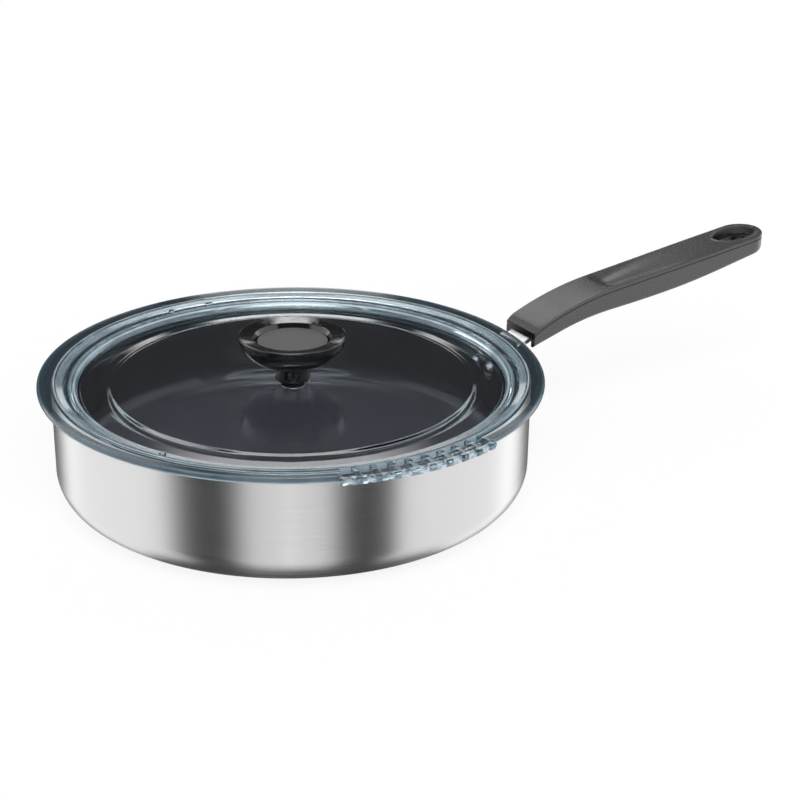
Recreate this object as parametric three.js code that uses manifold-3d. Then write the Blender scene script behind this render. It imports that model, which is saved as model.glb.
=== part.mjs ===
// A deep frying pan with a pressed glass lid: a riveted steel pan with a non-stick lining and a
// sandwich base, a moulded handle on a steel bracket, and a screwed-on lid knob.
// Millimetres, +Z up, handle along +X. The origin is the centre of the base, on the table.

import * as THREE from "three";
import { mergeVertices } from "three/addons/utils/BufferGeometryUtils.js";
import Module from "manifold-3d";

// Fits
const SEAT_GAP = 0.3; // between two pieces that rest on each other
const HOLE_CLEARANCE = 0.3; // all round a shank in its hole

// Pan
const PAN_RADIUS = 131; // outside of the wall
const SHELL_HEIGHT = 60.9; // underside of the shell to the rim
const SHELL_WALL = 0.8;
const SHELL_CORNER = 15.8; // outside radius between wall and floor
const LINING_WALL = 0.5;
const LINING_DROP = 2; // bare steel left above the lining

// Sandwich base
const BASE_RADIUS = 110;
const BASE_CAP_WALL = 0.6;
const HEAT_CORE_THICKNESS = 2.8;

// Rivets
const RIVET_DROP = 21.4; // rim down to the rivets
const RIVET_SPACING = 15.3;
const RIVET_SHANK_RADIUS = 2.5;
const RIVET_HEAD_RADIUS = 5.5;
const RIVET_HEAD_HEIGHT = 2.4;
const RIVET_HEAD_EDGE = 0.5; // upright edge under the dome
const RIVET_TAIL_RADIUS = 3.6;
const RIVET_TAIL_HEIGHT = 1.4;
const RIVET_TAIL_TAPER = 1.1; // the tail narrows by this
const RIVET_SEAT_GAP = 0.5; // lets the flat seats clear the round wall

// Handle bracket
const BRACKET_THICKNESS = 2.5;
const BRACKET_PAD_WIDTH = 34;
const BRACKET_PAD_BELOW = 9; // pad below the rivets
const BRACKET_PAD_ABOVE = 4; // rivets up to the bend
const BRACKET_ARM_WIDTH = 18;
const BRACKET_ARM_REACH = 38; // arm inside the handle
const BRACKET_BEND_RADIUS = 3.5;

// Handle
const HANDLE_STANDOFF = 22.5; // pan wall to the handle's front
const HANDLE_LENGTH = 181.5;
const HANDLE_FRONT_RISE = 2.2; // rim up to the top of the handle's front
const HANDLE_SLOPE = THREE.MathUtils.degToRad(7.55);
const HANDLE_NECK_LENGTH = 58; // curved front stretch
const HANDLE_NECK_RADIUS = 190;
const HANDLE_FRONT_WIDTH = 28.8;
const HANDLE_WAIST_WIDTH = 28;
const HANDLE_WAIST_AT = 51; // from the front
const HANDLE_BELLY_WIDTH = 30;
const HANDLE_BELLY_AT = 136;
const HANDLE_FRONT_DEPTH = 10.4;
const HANDLE_NECK_DEPTH = 12.3;
const HANDLE_NECK_AT = 17;
const HANDLE_MIDDLE_DEPTH = 15.2;
const HANDLE_MIDDLE_AT = 106;
const HANDLE_TIP_DEPTH = 10.3;
const HANDLE_END_LENGTH = 13.4; // rounded end, seen from above
const HANDLE_UNDER_RADIUS = 2.2; // rounding along the underside
const HANDLE_UNDER_SHARE = 0.8; // most of the half width that the rounding takes at the tip
const HANDLE_ROOF = 5; // over the bracket arm
const HANDLE_POCKET_CORNER = 2; // round corner of the pocket, beside the bracket arm
const HANDLE_POCKET_END_GAP = 2; // past the bracket arm

// Thumb dish in the handle's top
const DISH_CENTRE_AT = 97; // from the front
const DISH_LENGTH = 94;
const DISH_EDGE = 2.6; // land left on each side
const DISH_DEPTH = 2.4;

// Hanging eye
const EYE_CENTRE_FROM_TIP = 18.6;
const EYE_MOUTH_LENGTH = 29;
const EYE_MOUTH_WIDTH = 20;
const EYE_MOUTH_DEPTH = 4.5;
const EYE_HOLE_LENGTH = 23;
const EYE_HOLE_WIDTH = 14;
const EYE_RING_WALL = 2.2;
const EYE_RING_RISE = 0.8;

// Handle screw, up through the bracket arm
const HANDLE_SCREW_AT = 24; // from the handle's front
const HANDLE_SCREW_RADIUS = 1.7;
const HANDLE_SCREW_HEAD_RADIUS = 3.4;
const HANDLE_SCREW_HEAD_HEIGHT = 2;
const HANDLE_SCREW_CHAMFER = 1;
const HANDLE_SCREW_GRIP = 3; // thread in the handle's roof

// Lid glass
const LID_OVERHANG = 7.5; // past the pan wall
const LID_FLANGE_THICKNESS = 3.5;
const LID_FLANGE_WIDTH = 9; // flat band round the edge
const LID_STEP = 0.7; // down from the flat band
const LID_SHOULDER_WIDTH = 5; // sloped band inside the step
const LID_SHOULDER_DROP = 0.9;
const LID_WELL_DEPTH = 5.3; // flange top to panel top
const LID_WALL_RUN = 7; // slant of the well's wall
const LID_WELL_FILLET = 12;
const LID_PANEL_THICKNESS = 4;
const LID_HOLE_RADIUS = 3.2;

// Straining comb on one side of the lid
const COMB_DIRECTION = -90.7; // degrees from the handle
const COMB_SLOTS = 9;
const COMB_PITCH = 4.1; // degrees
const COMB_SLOT_WIDTH = 6.3;
const COMB_SLOT_LENGTH = 8.6;
const COMB_RIM_WALL = 2.2; // glass outside the slots
const COMB_RIM_PROUD = 3.5; // teeth past the flange
const COMB_RIM_HANG = 0.6; // teeth below the flange
const COMB_NOTCH = 1.6; // between two teeth, outside a slot

// Pouring gap opposite the comb
const SPOUT_DIRECTION = 92.2; // degrees from the handle
const SPOUT_WIDTH = 29;
const SPOUT_DEPTH = 1.6;

// Lid knob, heights above its foot
const KNOB_FOOT_RADIUS = 9.5;
const KNOB_STEM_RADIUS = 10.4; // at the stem's top
const KNOB_STEM_HEIGHT = 8.5;
const KNOB_NECK_RADIUS = 14; // where the stem flares into the bowl
const KNOB_NECK_AT = 12.3;
const KNOB_BOWL_RADIUS = 17.5; // start of the bowl's round side
const KNOB_BOWL_AT = 13.7;
const KNOB_RIM_RADIUS = 29.6;
const KNOB_RIM_ROUND = 0.6; // rounding on the rim's top edge
const KNOB_HEIGHT = 25.8;
const KNOB_RING_WIDTH = 8;
const KNOB_RING_FALL = 1.2; // the ring slopes down to the recess
const KNOB_RECESS_DEPTH = 4.8;
const KNOB_RECESS_DRAFT = 2; // the recess narrows by this

// Knob fasteners
const DISC_THICKNESS = 1.2;
const SCREW_RADIUS = 2;
const SCREW_HEAD_RADIUS = 4.6;
const SCREW_HEAD_HEIGHT = 2.6;
const SCREW_CHAMFER = 1.5;
const WASHER_RADIUS = 7;
const WASHER_THICKNESS = 1;
const SEAL_RADIUS = 6.5;
const SEAL_THICKNESS = 1;
const INSERT_RADIUS = 4;
const INSERT_LENGTH = 9;
const INSERT_DEPTH = 0.5; // up from the upper seal's recess

// Facets
const ROUND_SEGMENTS = 72; // pan, base and lid
const KNOB_SEGMENTS = 40;
const SMALL_SEGMENTS = 20; // rivets, screws and washers
const DISH_SEGMENTS = 24;
const ARC_STEPS = 5;
const NECK_STEPS = 8;
const GRIP_STEPS = 8;
const ARM_STEPS = 6;
const POCKET_STEPS = 10;
const TIP_LAST_TURN = 85; // degrees round the handle's tip, where it is cut flat
const BOWL_FIRST_TURN = -80; // degrees round the knob's bowl
const BOWL_LAST_TURN = -6;

// Heights and radii that follow from those
const BASE_RISE = BASE_CAP_WALL + SEAT_GAP + HEAT_CORE_THICKNESS + SEAT_GAP;
const RIM_Z = BASE_RISE + SHELL_HEIGHT;
const SHELL_INNER_RADIUS = PAN_RADIUS - SHELL_WALL;
const LINING_OUTER_RADIUS = SHELL_INNER_RADIUS - SEAT_GAP;
const LINING_INNER_RADIUS = LINING_OUTER_RADIUS - LINING_WALL;
const RIVET_Z = RIM_Z - RIVET_DROP;
const RIVET_ANGLE = Math.asin(RIVET_SPACING / 2 / PAN_RADIUS);
const PAD_INNER_RADIUS = PAN_RADIUS + SEAT_GAP;
const PAD_OUTER_RADIUS = PAD_INNER_RADIUS + BRACKET_THICKNESS;

const HANDLE_FRONT_X = PAN_RADIUS + HANDLE_STANDOFF;
const HANDLE_TIP_X = HANDLE_FRONT_X + HANDLE_LENGTH;
const HANDLE_FRONT_Z = RIM_Z + HANDLE_FRONT_RISE;
const NECK_END_X = HANDLE_FRONT_X + HANDLE_NECK_LENGTH;

const FLANGE_RADIUS = PAN_RADIUS + LID_OVERHANG;
const FLANGE_BOTTOM_Z = RIM_Z + SEAT_GAP;
const FLANGE_TOP_Z = FLANGE_BOTTOM_Z + LID_FLANGE_THICKNESS;
const PANEL_TOP_Z = FLANGE_TOP_Z - LID_WELL_DEPTH;
const PANEL_BOTTOM_Z = PANEL_TOP_Z - LID_PANEL_THICKNESS;

const UPPER_SEAL_Z = PANEL_TOP_Z + SEAT_GAP;
const KNOB_FOOT_Z = PANEL_TOP_Z + SEAT_GAP;
const SEAL_RECESS_Z = UPPER_SEAL_Z + SEAL_THICKNESS + SEAT_GAP; // roof of the recess in the knob's foot
const LOWER_SEAL_Z = PANEL_BOTTOM_Z - SEAT_GAP - SEAL_THICKNESS;
const WASHER_Z = LOWER_SEAL_Z - SEAT_GAP - WASHER_THICKNESS;
const SCREW_SEAT_Z = WASHER_Z - SEAT_GAP;
const INSERT_Z = SEAL_RECESS_Z + INSERT_DEPTH;
const SHANK_HOLE_RADIUS = SCREW_RADIUS + HOLE_CLEARANCE;

const wasm = await Module();
wasm.setup();

// Solids

function solid(geometry) {
  const bare = geometry.clone();
  bare.deleteAttribute("normal");
  bare.deleteAttribute("uv");
  const merged = mergeVertices(bare, 1e-4);
  const corners = merged.index.array;
  const kept = [];
  for (let i = 0; i < corners.length; i += 3) {
    const [a, b, c] = corners.slice(i, i + 3);
    if (a !== b && b !== c && c !== a) kept.push(a, b, c);
  }
  return new wasm.Manifold(
    new wasm.Mesh({
      numProp: 3,
      vertProperties: new Float32Array(merged.attributes.position.array),
      triVerts: new Uint32Array(kept),
    }),
  );
}

function geometryOf(body) {
  const { vertProperties, triVerts } = body.getMesh();
  const geometry = new THREE.BufferGeometry();
  geometry.setAttribute("position", new THREE.BufferAttribute(vertProperties, 3));
  geometry.setIndex(new THREE.BufferAttribute(triVerts, 1));
  geometry.computeVertexNormals();
  return geometry;
}

function cut(geometry, ...tools) {
  const left = tools.reduce((body, tool) => body.subtract(solid(tool)), solid(geometry));
  return geometryOf(left);
}

function join(geometry, ...others) {
  const whole = others.reduce((body, other) => body.add(solid(other)), solid(geometry));
  return geometryOf(whole);
}

function named(name, geometry, colour, roughness, metalness) {
  const material = new THREE.MeshStandardMaterial({ color: colour, roughness, metalness });
  const mesh = new THREE.Mesh(geometry, material);
  mesh.name = name;
  return mesh;
}

// Profiles and sections

function arc(centreX, centreY, radius, fromDegrees, toDegrees, steps = ARC_STEPS) {
  const points = [];
  for (let i = 0; i <= steps; i++) {
    const turn = fromDegrees + ((toDegrees - fromDegrees) * i) / steps;
    const angle = THREE.MathUtils.degToRad(turn);
    points.push([centreX + radius * Math.cos(angle), centreY + radius * Math.sin(angle)]);
  }
  return points;
}

// Turns a profile of [radius, height] points, run anticlockwise, about the Z axis.
function turned(profile, segments = ROUND_SEGMENTS) {
  const points = profile.map(([radius, height]) => new THREE.Vector2(radius, height));
  return new THREE.LatheGeometry(points, segments).rotateX(Math.PI / 2);
}

function ring(innerRadius, outerRadius, bottom, top, segments = SMALL_SEGMENTS) {
  const profile = [
    [innerRadius, bottom],
    [outerRadius, bottom],
    [outerRadius, top],
    [innerRadius, top],
    [innerRadius, bottom],
  ];
  return turned(profile, segments);
}

function rod(radius, bottom, top, segments = SMALL_SEGMENTS) {
  const profile = [
    [0, bottom],
    [radius, bottom],
    [radius, top],
    [0, top],
  ];
  return turned(profile, segments);
}

// Skins a row of rings of points, each ring run anticlockwise seen from +X, and caps both ends.
function loft(rings) {
  const count = rings[0].length;
  const positions = rings.flat().flatMap((point) => point.toArray());
  const faces = [];
  for (let i = 0; i + 1 < rings.length; i++) {
    for (let j = 0; j < count; j++) {
      const a = i * count + j;
      const b = i * count + ((j + 1) % count);
      faces.push(a, b + count, a + count, a, b, b + count);
    }
  }
  const last = (rings.length - 1) * count;
  for (let j = 1; j + 1 < count; j++) {
    faces.push(0, j + 1, j);
    faces.push(last, last + j, last + j + 1);
  }
  const geometry = new THREE.BufferGeometry();
  geometry.setAttribute("position", new THREE.Float32BufferAttribute(positions, 3));
  geometry.setIndex(faces);
  return geometry;
}

function ellipse(length, width) {
  const outline = new THREE.Shape();
  outline.absellipse(0, 0, length / 2, width / 2, 0, 2 * Math.PI);
  return outline;
}

function prism(outline, bottom, top, curveSegments = SMALL_SEGMENTS / 2) {
  const settings = { depth: top - bottom, bevelEnabled: false, curveSegments };
  return new THREE.ExtrudeGeometry(outline, settings).translate(0, 0, bottom);
}

// Smooth value at a place, on a curve through a list of [place, value] stations.
function through(stations, place) {
  const next = stations.findIndex(([at]) => at >= place);
  if (next === 0) return stations[0][1];
  if (next < 0) return stations.at(-1)[1];
  const slopeNear = (i) => {
    const [beforeAt, before] = stations[Math.max(0, i - 1)];
    const [afterAt, after] = stations[Math.min(stations.length - 1, i + 1)];
    return (after - before) / (afterAt - beforeAt);
  };
  const [fromAt, from] = stations[next - 1];
  const [toAt, to] = stations[next];
  const span = toAt - fromAt;
  const t = (place - fromAt) / span;
  const blend = t * t * (3 - 2 * t);
  const leave = span * slopeNear(next - 1) * t * (1 - t) * (1 - t);
  const arrive = span * slopeNear(next) * t * t * (t - 1);
  return THREE.MathUtils.lerp(from, to, blend) + leave + arrive;
}

function spaced(from, to, count) {
  return Array.from({ length: count + 1 }, (_, i) => from + ((to - from) * i) / count);
}

// Pan

function panProfile(outerRadius, bottom, wall, corner, top) {
  const centreR = outerRadius - corner;
  const centreZ = bottom + corner;
  return [
    [0, bottom],
    ...arc(centreR, centreZ, corner, -90, 0),
    [outerRadius, top],
    [outerRadius - wall, top],
    ...arc(centreR, centreZ, corner - wall, 0, -90),
    [0, bottom + wall],
  ];
}

// Places a shape made along +X at one of the two rivets.
function atRivet(geometry, side) {
  return geometry.rotateZ(side * RIVET_ANGLE).translate(0, 0, RIVET_Z);
}

function rivetHole(side) {
  const radius = RIVET_SHANK_RADIUS + HOLE_CLEARANCE;
  const reach = 2 * (RIVET_HEAD_RADIUS + PAD_OUTER_RADIUS - LINING_INNER_RADIUS);
  const from = LINING_INNER_RADIUS - reach / 2;
  return atRivet(rod(radius, from, from + reach).rotateY(Math.PI / 2), side);
}

function makeShell() {
  const profile = panProfile(PAN_RADIUS, BASE_RISE, SHELL_WALL, SHELL_CORNER, RIM_Z);
  const shell = cut(turned(profile), rivetHole(1), rivetHole(-1));
  return named("pan_shell", shell, 0xb9babd, 0.3, 1);
}

function makeLining() {
  const bottom = BASE_RISE + SHELL_WALL + SEAT_GAP;
  const corner = SHELL_CORNER - SHELL_WALL - SEAT_GAP;
  const profile = panProfile(LINING_OUTER_RADIUS, bottom, LINING_WALL, corner, RIM_Z - LINING_DROP);
  const lining = cut(turned(profile), rivetHole(1), rivetHole(-1));
  return named("nonstick_lining", lining, 0x2b2b30, 0.35, 0);
}

function makeHeatCore() {
  const radius = BASE_RADIUS - BASE_CAP_WALL - SEAT_GAP;
  const bottom = BASE_CAP_WALL + SEAT_GAP;
  const core = rod(radius, bottom, bottom + HEAT_CORE_THICKNESS, ROUND_SEGMENTS);
  return named("base_heat_core", core, 0xc4c6c9, 0.45, 1);
}

function makeBaseCap() {
  const lip = BASE_RISE - SEAT_GAP;
  const inside = BASE_RADIUS - BASE_CAP_WALL;
  const profile = [
    [0, 0],
    [BASE_RADIUS, 0],
    [BASE_RADIUS, lip],
    [inside, lip],
    [inside, BASE_CAP_WALL],
    [0, BASE_CAP_WALL],
  ];
  return named("base_induction_cap", turned(profile), 0xa9abae, 0.35, 1);
}

function makeRivet(name, side) {
  const headSeat = LINING_INNER_RADIUS - RIVET_SEAT_GAP;
  const tailSeat = PAD_OUTER_RADIUS + RIVET_SEAT_GAP;
  const domeBase = headSeat - RIVET_HEAD_EDGE;
  const domeHeight = RIVET_HEAD_HEIGHT - RIVET_HEAD_EDGE;
  const dome = arc(0, 0, 1, -90, 0).slice(1);
  const profile = [
    [0, headSeat - RIVET_HEAD_HEIGHT],
    ...dome.map(([across, along]) => [across * RIVET_HEAD_RADIUS, domeBase + along * domeHeight]),
    [RIVET_HEAD_RADIUS, headSeat],
    [RIVET_SHANK_RADIUS, headSeat],
    [RIVET_SHANK_RADIUS, tailSeat],
    [RIVET_TAIL_RADIUS, tailSeat],
    [RIVET_TAIL_RADIUS - RIVET_TAIL_TAPER, tailSeat + RIVET_TAIL_HEIGHT],
    [0, tailSeat + RIVET_TAIL_HEIGHT],
  ];
  const rivet = atRivet(turned(profile, SMALL_SEGMENTS).rotateY(Math.PI / 2), side);
  return named(name, rivet, 0x303034, 0.3, 0.2);
}

// Handle

const NECK_CENTRE_X = NECK_END_X + HANDLE_NECK_RADIUS * Math.sin(HANDLE_SLOPE);
const NECK_CENTRE_Z = HANDLE_FRONT_Z - HANDLE_NECK_RADIUS * Math.cos(slopeAt(HANDLE_FRONT_X));
const NECK_END_Z = NECK_CENTRE_Z + HANDLE_NECK_RADIUS * Math.cos(HANDLE_SLOPE);
const ARM_DROP = HANDLE_ROOF + SEAT_GAP; // handle's top down to the bracket arm
const POCKET_CUT = 2 * HANDLE_MIDDLE_DEPTH; // deep enough to open the pocket below
const HANDLE_SCREW_X = HANDLE_FRONT_X + HANDLE_SCREW_AT;

// Slope of the handle's top: an arc near the pan, then a straight line.
function slopeAt(x) {
  return x >= NECK_END_X ? HANDLE_SLOPE : Math.asin((NECK_CENTRE_X - x) / HANDLE_NECK_RADIUS);
}

function topAt(x) {
  if (x >= NECK_END_X) return NECK_END_Z + (x - NECK_END_X) * Math.tan(HANDLE_SLOPE);
  return NECK_CENTRE_Z + HANDLE_NECK_RADIUS * Math.cos(slopeAt(x));
}

function halfWidthAt(x) {
  const stations = [
    [HANDLE_FRONT_X, HANDLE_FRONT_WIDTH / 2],
    [HANDLE_FRONT_X + HANDLE_WAIST_AT, HANDLE_WAIST_WIDTH / 2],
    [HANDLE_FRONT_X + HANDLE_BELLY_AT, HANDLE_BELLY_WIDTH / 2],
  ];
  const past = Math.max(0, x - (HANDLE_TIP_X - HANDLE_END_LENGTH)) / HANDLE_END_LENGTH;
  return through(stations, x) * Math.sqrt(1 - past * past);
}

function depthAt(x) {
  const stations = [
    [HANDLE_FRONT_X, HANDLE_FRONT_DEPTH],
    [HANDLE_FRONT_X + HANDLE_NECK_AT, HANDLE_NECK_DEPTH],
    [HANDLE_FRONT_X + HANDLE_MIDDLE_AT, HANDLE_MIDDLE_DEPTH],
    [HANDLE_TIP_X, HANDLE_TIP_DEPTH],
  ];
  return through(stations, x);
}

// Place square to the handle's top and below it.
function under(x, drop) {
  const slope = slopeAt(x);
  return [x + drop * Math.sin(slope), topAt(x) - drop * Math.cos(slope)];
}

// A slab across the handle with two round edges, below for the grip and above for its pocket.
function gripRing(x) {
  const half = halfWidthAt(x);
  const top = topAt(x);
  const bottom = top - depthAt(x);
  const round = Math.min(HANDLE_UNDER_RADIUS, HANDLE_UNDER_SHARE * half);
  const outline = [
    [half, top],
    [-half, top],
    ...arc(-half + round, bottom + round, round, 180, 270, 3),
    ...arc(half - round, bottom + round, round, 270, 360, 3),
  ];
  return outline.map(([y, z]) => new THREE.Vector3(x, y, z));
}

function pocketRing(x) {
  const armHalf = BRACKET_ARM_WIDTH / 2;
  const corner = HANDLE_POCKET_CORNER;
  const roof = -HANDLE_ROOF;
  const outline = [
    [-armHalf - corner, -POCKET_CUT],
    [armHalf + corner, -POCKET_CUT],
    ...arc(armHalf, roof - corner, corner, 0, 90, 2),
    ...arc(-armHalf, roof - corner, corner, 90, 180, 2),
  ];
  return outline.map(([y, rise]) => {
    const [underX, underZ] = under(x, -rise);
    return new THREE.Vector3(underX, y, underZ);
  });
}

// Turns a shape made round the origin, +Z up, to stand on the handle's top or under it.
function onHandle(geometry, x, drop = 0) {
  const [underX, underZ] = under(x, drop);
  return geometry.rotateY(-slopeAt(x)).translate(underX, 0, underZ);
}

function makeGrip() {
  const endStart = HANDLE_TIP_X - HANDLE_END_LENGTH;
  const roundEnd = spaced(0, TIP_LAST_TURN, ARC_STEPS).map((turn) => {
    const along = Math.sin(THREE.MathUtils.degToRad(turn));
    return endStart + HANDLE_END_LENGTH * along;
  });
  const neck = spaced(HANDLE_FRONT_X, NECK_END_X, NECK_STEPS);
  const grip = spaced(NECK_END_X, endStart, GRIP_STEPS).slice(1, -1);
  const body = loft([...neck, ...grip, ...roundEnd].map(gripRing));

  const pocketEnd = HANDLE_FRONT_X + BRACKET_ARM_REACH + HANDLE_POCKET_END_GAP;
  const pocket = loft(spaced(HANDLE_FRONT_X - POCKET_CUT, pocketEnd, POCKET_STEPS).map(pocketRing));

  const eyeX = HANDLE_TIP_X - EYE_CENTRE_FROM_TIP;
  const ringLength = EYE_MOUTH_LENGTH + 2 * EYE_RING_WALL;
  const ringWidth = EYE_MOUTH_WIDTH + 2 * EYE_RING_WALL;
  const eyeRing = prism(ellipse(ringLength, ringWidth), -EYE_MOUTH_DEPTH, EYE_RING_RISE);
  const mouth = prism(ellipse(EYE_MOUTH_LENGTH, EYE_MOUTH_WIDTH), -EYE_MOUTH_DEPTH, 2 * EYE_RING_RISE);
  const hole = prism(ellipse(EYE_HOLE_LENGTH, EYE_HOLE_WIDTH), -POCKET_CUT, 0);

  const dishX = HANDLE_FRONT_X + DISH_CENTRE_AT;
  const dishWidth = 2 * (halfWidthAt(dishX) - DISH_EDGE);
  const dish = new THREE.SphereGeometry(1, DISH_SEGMENTS, DISH_SEGMENTS / 2);
  dish.scale(DISH_LENGTH / 2, dishWidth / 2, DISH_DEPTH);

  const screwHoleTop = HANDLE_SCREW_GRIP + 2 * SEAT_GAP;
  const screwHole = rod(HANDLE_SCREW_RADIUS + HOLE_CLEARANCE, -BRACKET_THICKNESS, screwHoleTop);

  const withRing = join(cut(body, onHandle(dish, dishX)), onHandle(eyeRing, eyeX));
  const grooved = cut(withRing, onHandle(mouth, eyeX), onHandle(hole, eyeX), pocket);
  const drilled = cut(grooved, onHandle(screwHole, HANDLE_SCREW_X, ARM_DROP));
  return named("handle_grip", drilled, 0x55565a, 0.6, 0);
}

// A bent strip, up the pan's wall and out along the inside of the handle.
function makeBracket() {
  const armEnd = HANDLE_FRONT_X + BRACKET_ARM_REACH;
  const upper = spaced(HANDLE_FRONT_X, armEnd, ARM_STEPS).map((x) => under(x, ARM_DROP));
  const lower = spaced(HANDLE_FRONT_X, armEnd, ARM_STEPS).map((x) => under(x, ARM_DROP + BRACKET_THICKNESS));
  const padBottom = RIVET_Z - BRACKET_PAD_BELOW;

  // The bend rolls from the upright pad into a straight strut, which runs to the handle's front.
  const outer = BRACKET_BEND_RADIUS + BRACKET_THICKNESS;
  const bendX = PAD_INNER_RADIUS + outer;
  const bendZ = RIVET_Z + BRACKET_PAD_ABOVE;
  const [frontX, frontZ] = upper[0];
  const direct = Math.atan2(frontZ - bendZ, frontX - bendX);
  const strut = direct - Math.asin(outer / Math.hypot(frontX - bendX, frontZ - bendZ));
  const leaving = 90 + THREE.MathUtils.radToDeg(strut);

  const topSide = [...arc(bendX, bendZ, outer, 180, leaving), ...upper];
  const underSide = [...lower.reverse(), ...arc(bendX, bendZ, BRACKET_BEND_RADIUS, leaving, 180)];
  const points = [[PAD_INNER_RADIUS, padBottom], ...topSide, ...underSide, [PAD_OUTER_RADIUS, padBottom]];
  const outline = new THREE.Shape(points.map(([x, z]) => new THREE.Vector2(x, z)));
  const strip = new THREE.ExtrudeGeometry(outline, { depth: BRACKET_ARM_WIDTH, bevelEnabled: false });
  strip.rotateX(Math.PI / 2).translate(0, BRACKET_ARM_WIDTH / 2, 0);

  // The pad wraps round the pan and carries the rivets.
  const spread = Math.asin(BRACKET_PAD_WIDTH / 2 / PAD_OUTER_RADIUS);
  const sector = new THREE.Shape();
  sector.absarc(0, 0, PAD_OUTER_RADIUS, -spread, spread, false);
  sector.absarc(0, 0, PAD_INNER_RADIUS, spread, -spread, true);
  const pad = prism(sector, padBottom, bendZ);
  const panSpace = rod(PAD_INNER_RADIUS, 0, 2 * RIM_Z, 4 * ROUND_SEGMENTS);

  const screwHole = rod(HANDLE_SCREW_RADIUS + HOLE_CLEARANCE, -2 * BRACKET_THICKNESS, SEAT_GAP / 2);
  const bent = cut(strip, panSpace, onHandle(screwHole, HANDLE_SCREW_X, ARM_DROP));
  const drilled = cut(join(bent, pad), rivetHole(1), rivetHole(-1));
  return named("handle_bracket", drilled, 0xa5a7aa, 0.35, 1);
}

function makeHandleScrew() {
  const seat = -BRACKET_THICKNESS - SEAT_GAP;
  const profile = [
    [0, seat - HANDLE_SCREW_HEAD_HEIGHT],
    [HANDLE_SCREW_HEAD_RADIUS - HANDLE_SCREW_CHAMFER, seat - HANDLE_SCREW_HEAD_HEIGHT],
    [HANDLE_SCREW_HEAD_RADIUS, seat - HANDLE_SCREW_HEAD_HEIGHT + HANDLE_SCREW_CHAMFER],
    [HANDLE_SCREW_HEAD_RADIUS, seat],
    [HANDLE_SCREW_RADIUS, seat],
    [HANDLE_SCREW_RADIUS, HANDLE_SCREW_GRIP],
    [0, HANDLE_SCREW_GRIP + SEAT_GAP],
  ];
  const screw = onHandle(turned(profile, SMALL_SEGMENTS), HANDLE_SCREW_X, ARM_DROP);
  return named("handle_screw", screw, 0x9fa1a4, 0.35, 1);
}

// Lid

function lidProfile() {
  const edge = LID_FLANGE_THICKNESS / 2;
  const edgeZ = FLANGE_BOTTOM_Z + edge;
  const stepR = FLANGE_RADIUS - LID_FLANGE_WIDTH;
  const shoulderR = stepR - LID_SHOULDER_WIDTH;
  const shoulderZ = FLANGE_TOP_Z - LID_STEP - LID_SHOULDER_DROP;
  const wellR = shoulderR - LID_WALL_RUN;
  const skirtR = stepR - LID_FLANGE_THICKNESS / 2;
  const skirtBottomR = wellR + LID_PANEL_THICKNESS;
  const well = new THREE.QuadraticBezierCurve(
    new THREE.Vector2(shoulderR, shoulderZ),
    new THREE.Vector2(wellR, PANEL_TOP_Z),
    new THREE.Vector2(wellR - LID_WELL_FILLET, PANEL_TOP_Z),
  );
  return [
    [LID_HOLE_RADIUS, PANEL_BOTTOM_Z],
    [wellR - LID_WELL_FILLET / 2, PANEL_BOTTOM_Z],
    [skirtBottomR, PANEL_BOTTOM_Z + LID_PANEL_THICKNESS / 2],
    [skirtR, FLANGE_BOTTOM_Z - LID_STEP],
    [stepR, FLANGE_BOTTOM_Z],
    ...arc(FLANGE_RADIUS - edge, edgeZ, edge, -90, 90, 4),
    [stepR, FLANGE_TOP_Z],
    [stepR - LID_STEP, FLANGE_TOP_Z - LID_STEP],
    ...well.getPoints(ARC_STEPS).map((point) => point.toArray()),
    [LID_HOLE_RADIUS, PANEL_TOP_Z],
    [LID_HOLE_RADIUS, PANEL_BOTTOM_Z],
  ];
}

function block(length, width, height, x, z, turnDegrees) {
  const box = new THREE.BoxGeometry(length, width, height).translate(x, 0, z);
  return box.rotateZ(THREE.MathUtils.degToRad(turnDegrees));
}

function makeGlass() {
  const toothR = FLANGE_RADIUS + COMB_RIM_PROUD;
  const slotOuterR = toothR - COMB_RIM_WALL - COMB_NOTCH;
  const slotMiddleR = slotOuterR - COMB_SLOT_LENGTH / 2;
  const middleZ = (FLANGE_TOP_Z + FLANGE_BOTTOM_Z) / 2;

  // A band of glass outside the flange carries the teeth.
  const spread = THREE.MathUtils.degToRad((COMB_SLOTS * COMB_PITCH) / 2);
  const sector = new THREE.Shape();
  sector.absarc(0, 0, toothR, -spread, spread, false);
  sector.absarc(0, 0, slotOuterR, spread, -spread, true);
  const band = prism(sector, FLANGE_BOTTOM_Z - COMB_RIM_HANG, FLANGE_TOP_Z - LID_STEP);
  band.rotateZ(THREE.MathUtils.degToRad(COMB_DIRECTION));

  const cutters = [];
  for (let i = 0; i < COMB_SLOTS; i++) {
    const turn = COMB_DIRECTION + COMB_PITCH * (i - (COMB_SLOTS - 1) / 2);
    const tall = 4 * LID_FLANGE_THICKNESS;
    cutters.push(block(COMB_SLOT_LENGTH, COMB_SLOT_WIDTH, tall, slotMiddleR, middleZ, turn));
    cutters.push(block(2 * COMB_NOTCH, COMB_NOTCH, tall, toothR, middleZ, turn));
  }

  // The spout is a shallow trough under the flange.
  const spoutR = PAN_RADIUS + LID_OVERHANG / 2;
  const spoutZ = FLANGE_BOTTOM_Z + SPOUT_DEPTH / 2 - LID_STEP;
  const trough = SPOUT_DEPTH + 2 * LID_STEP;
  cutters.push(block(2 * LID_FLANGE_WIDTH, SPOUT_WIDTH, trough, spoutR, spoutZ, SPOUT_DIRECTION));

  const glass = cut(join(turned(lidProfile()), band), ...cutters);
  return named("lid_glass", glass, 0xcfe3e8, 0.05, 0);
}

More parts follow.
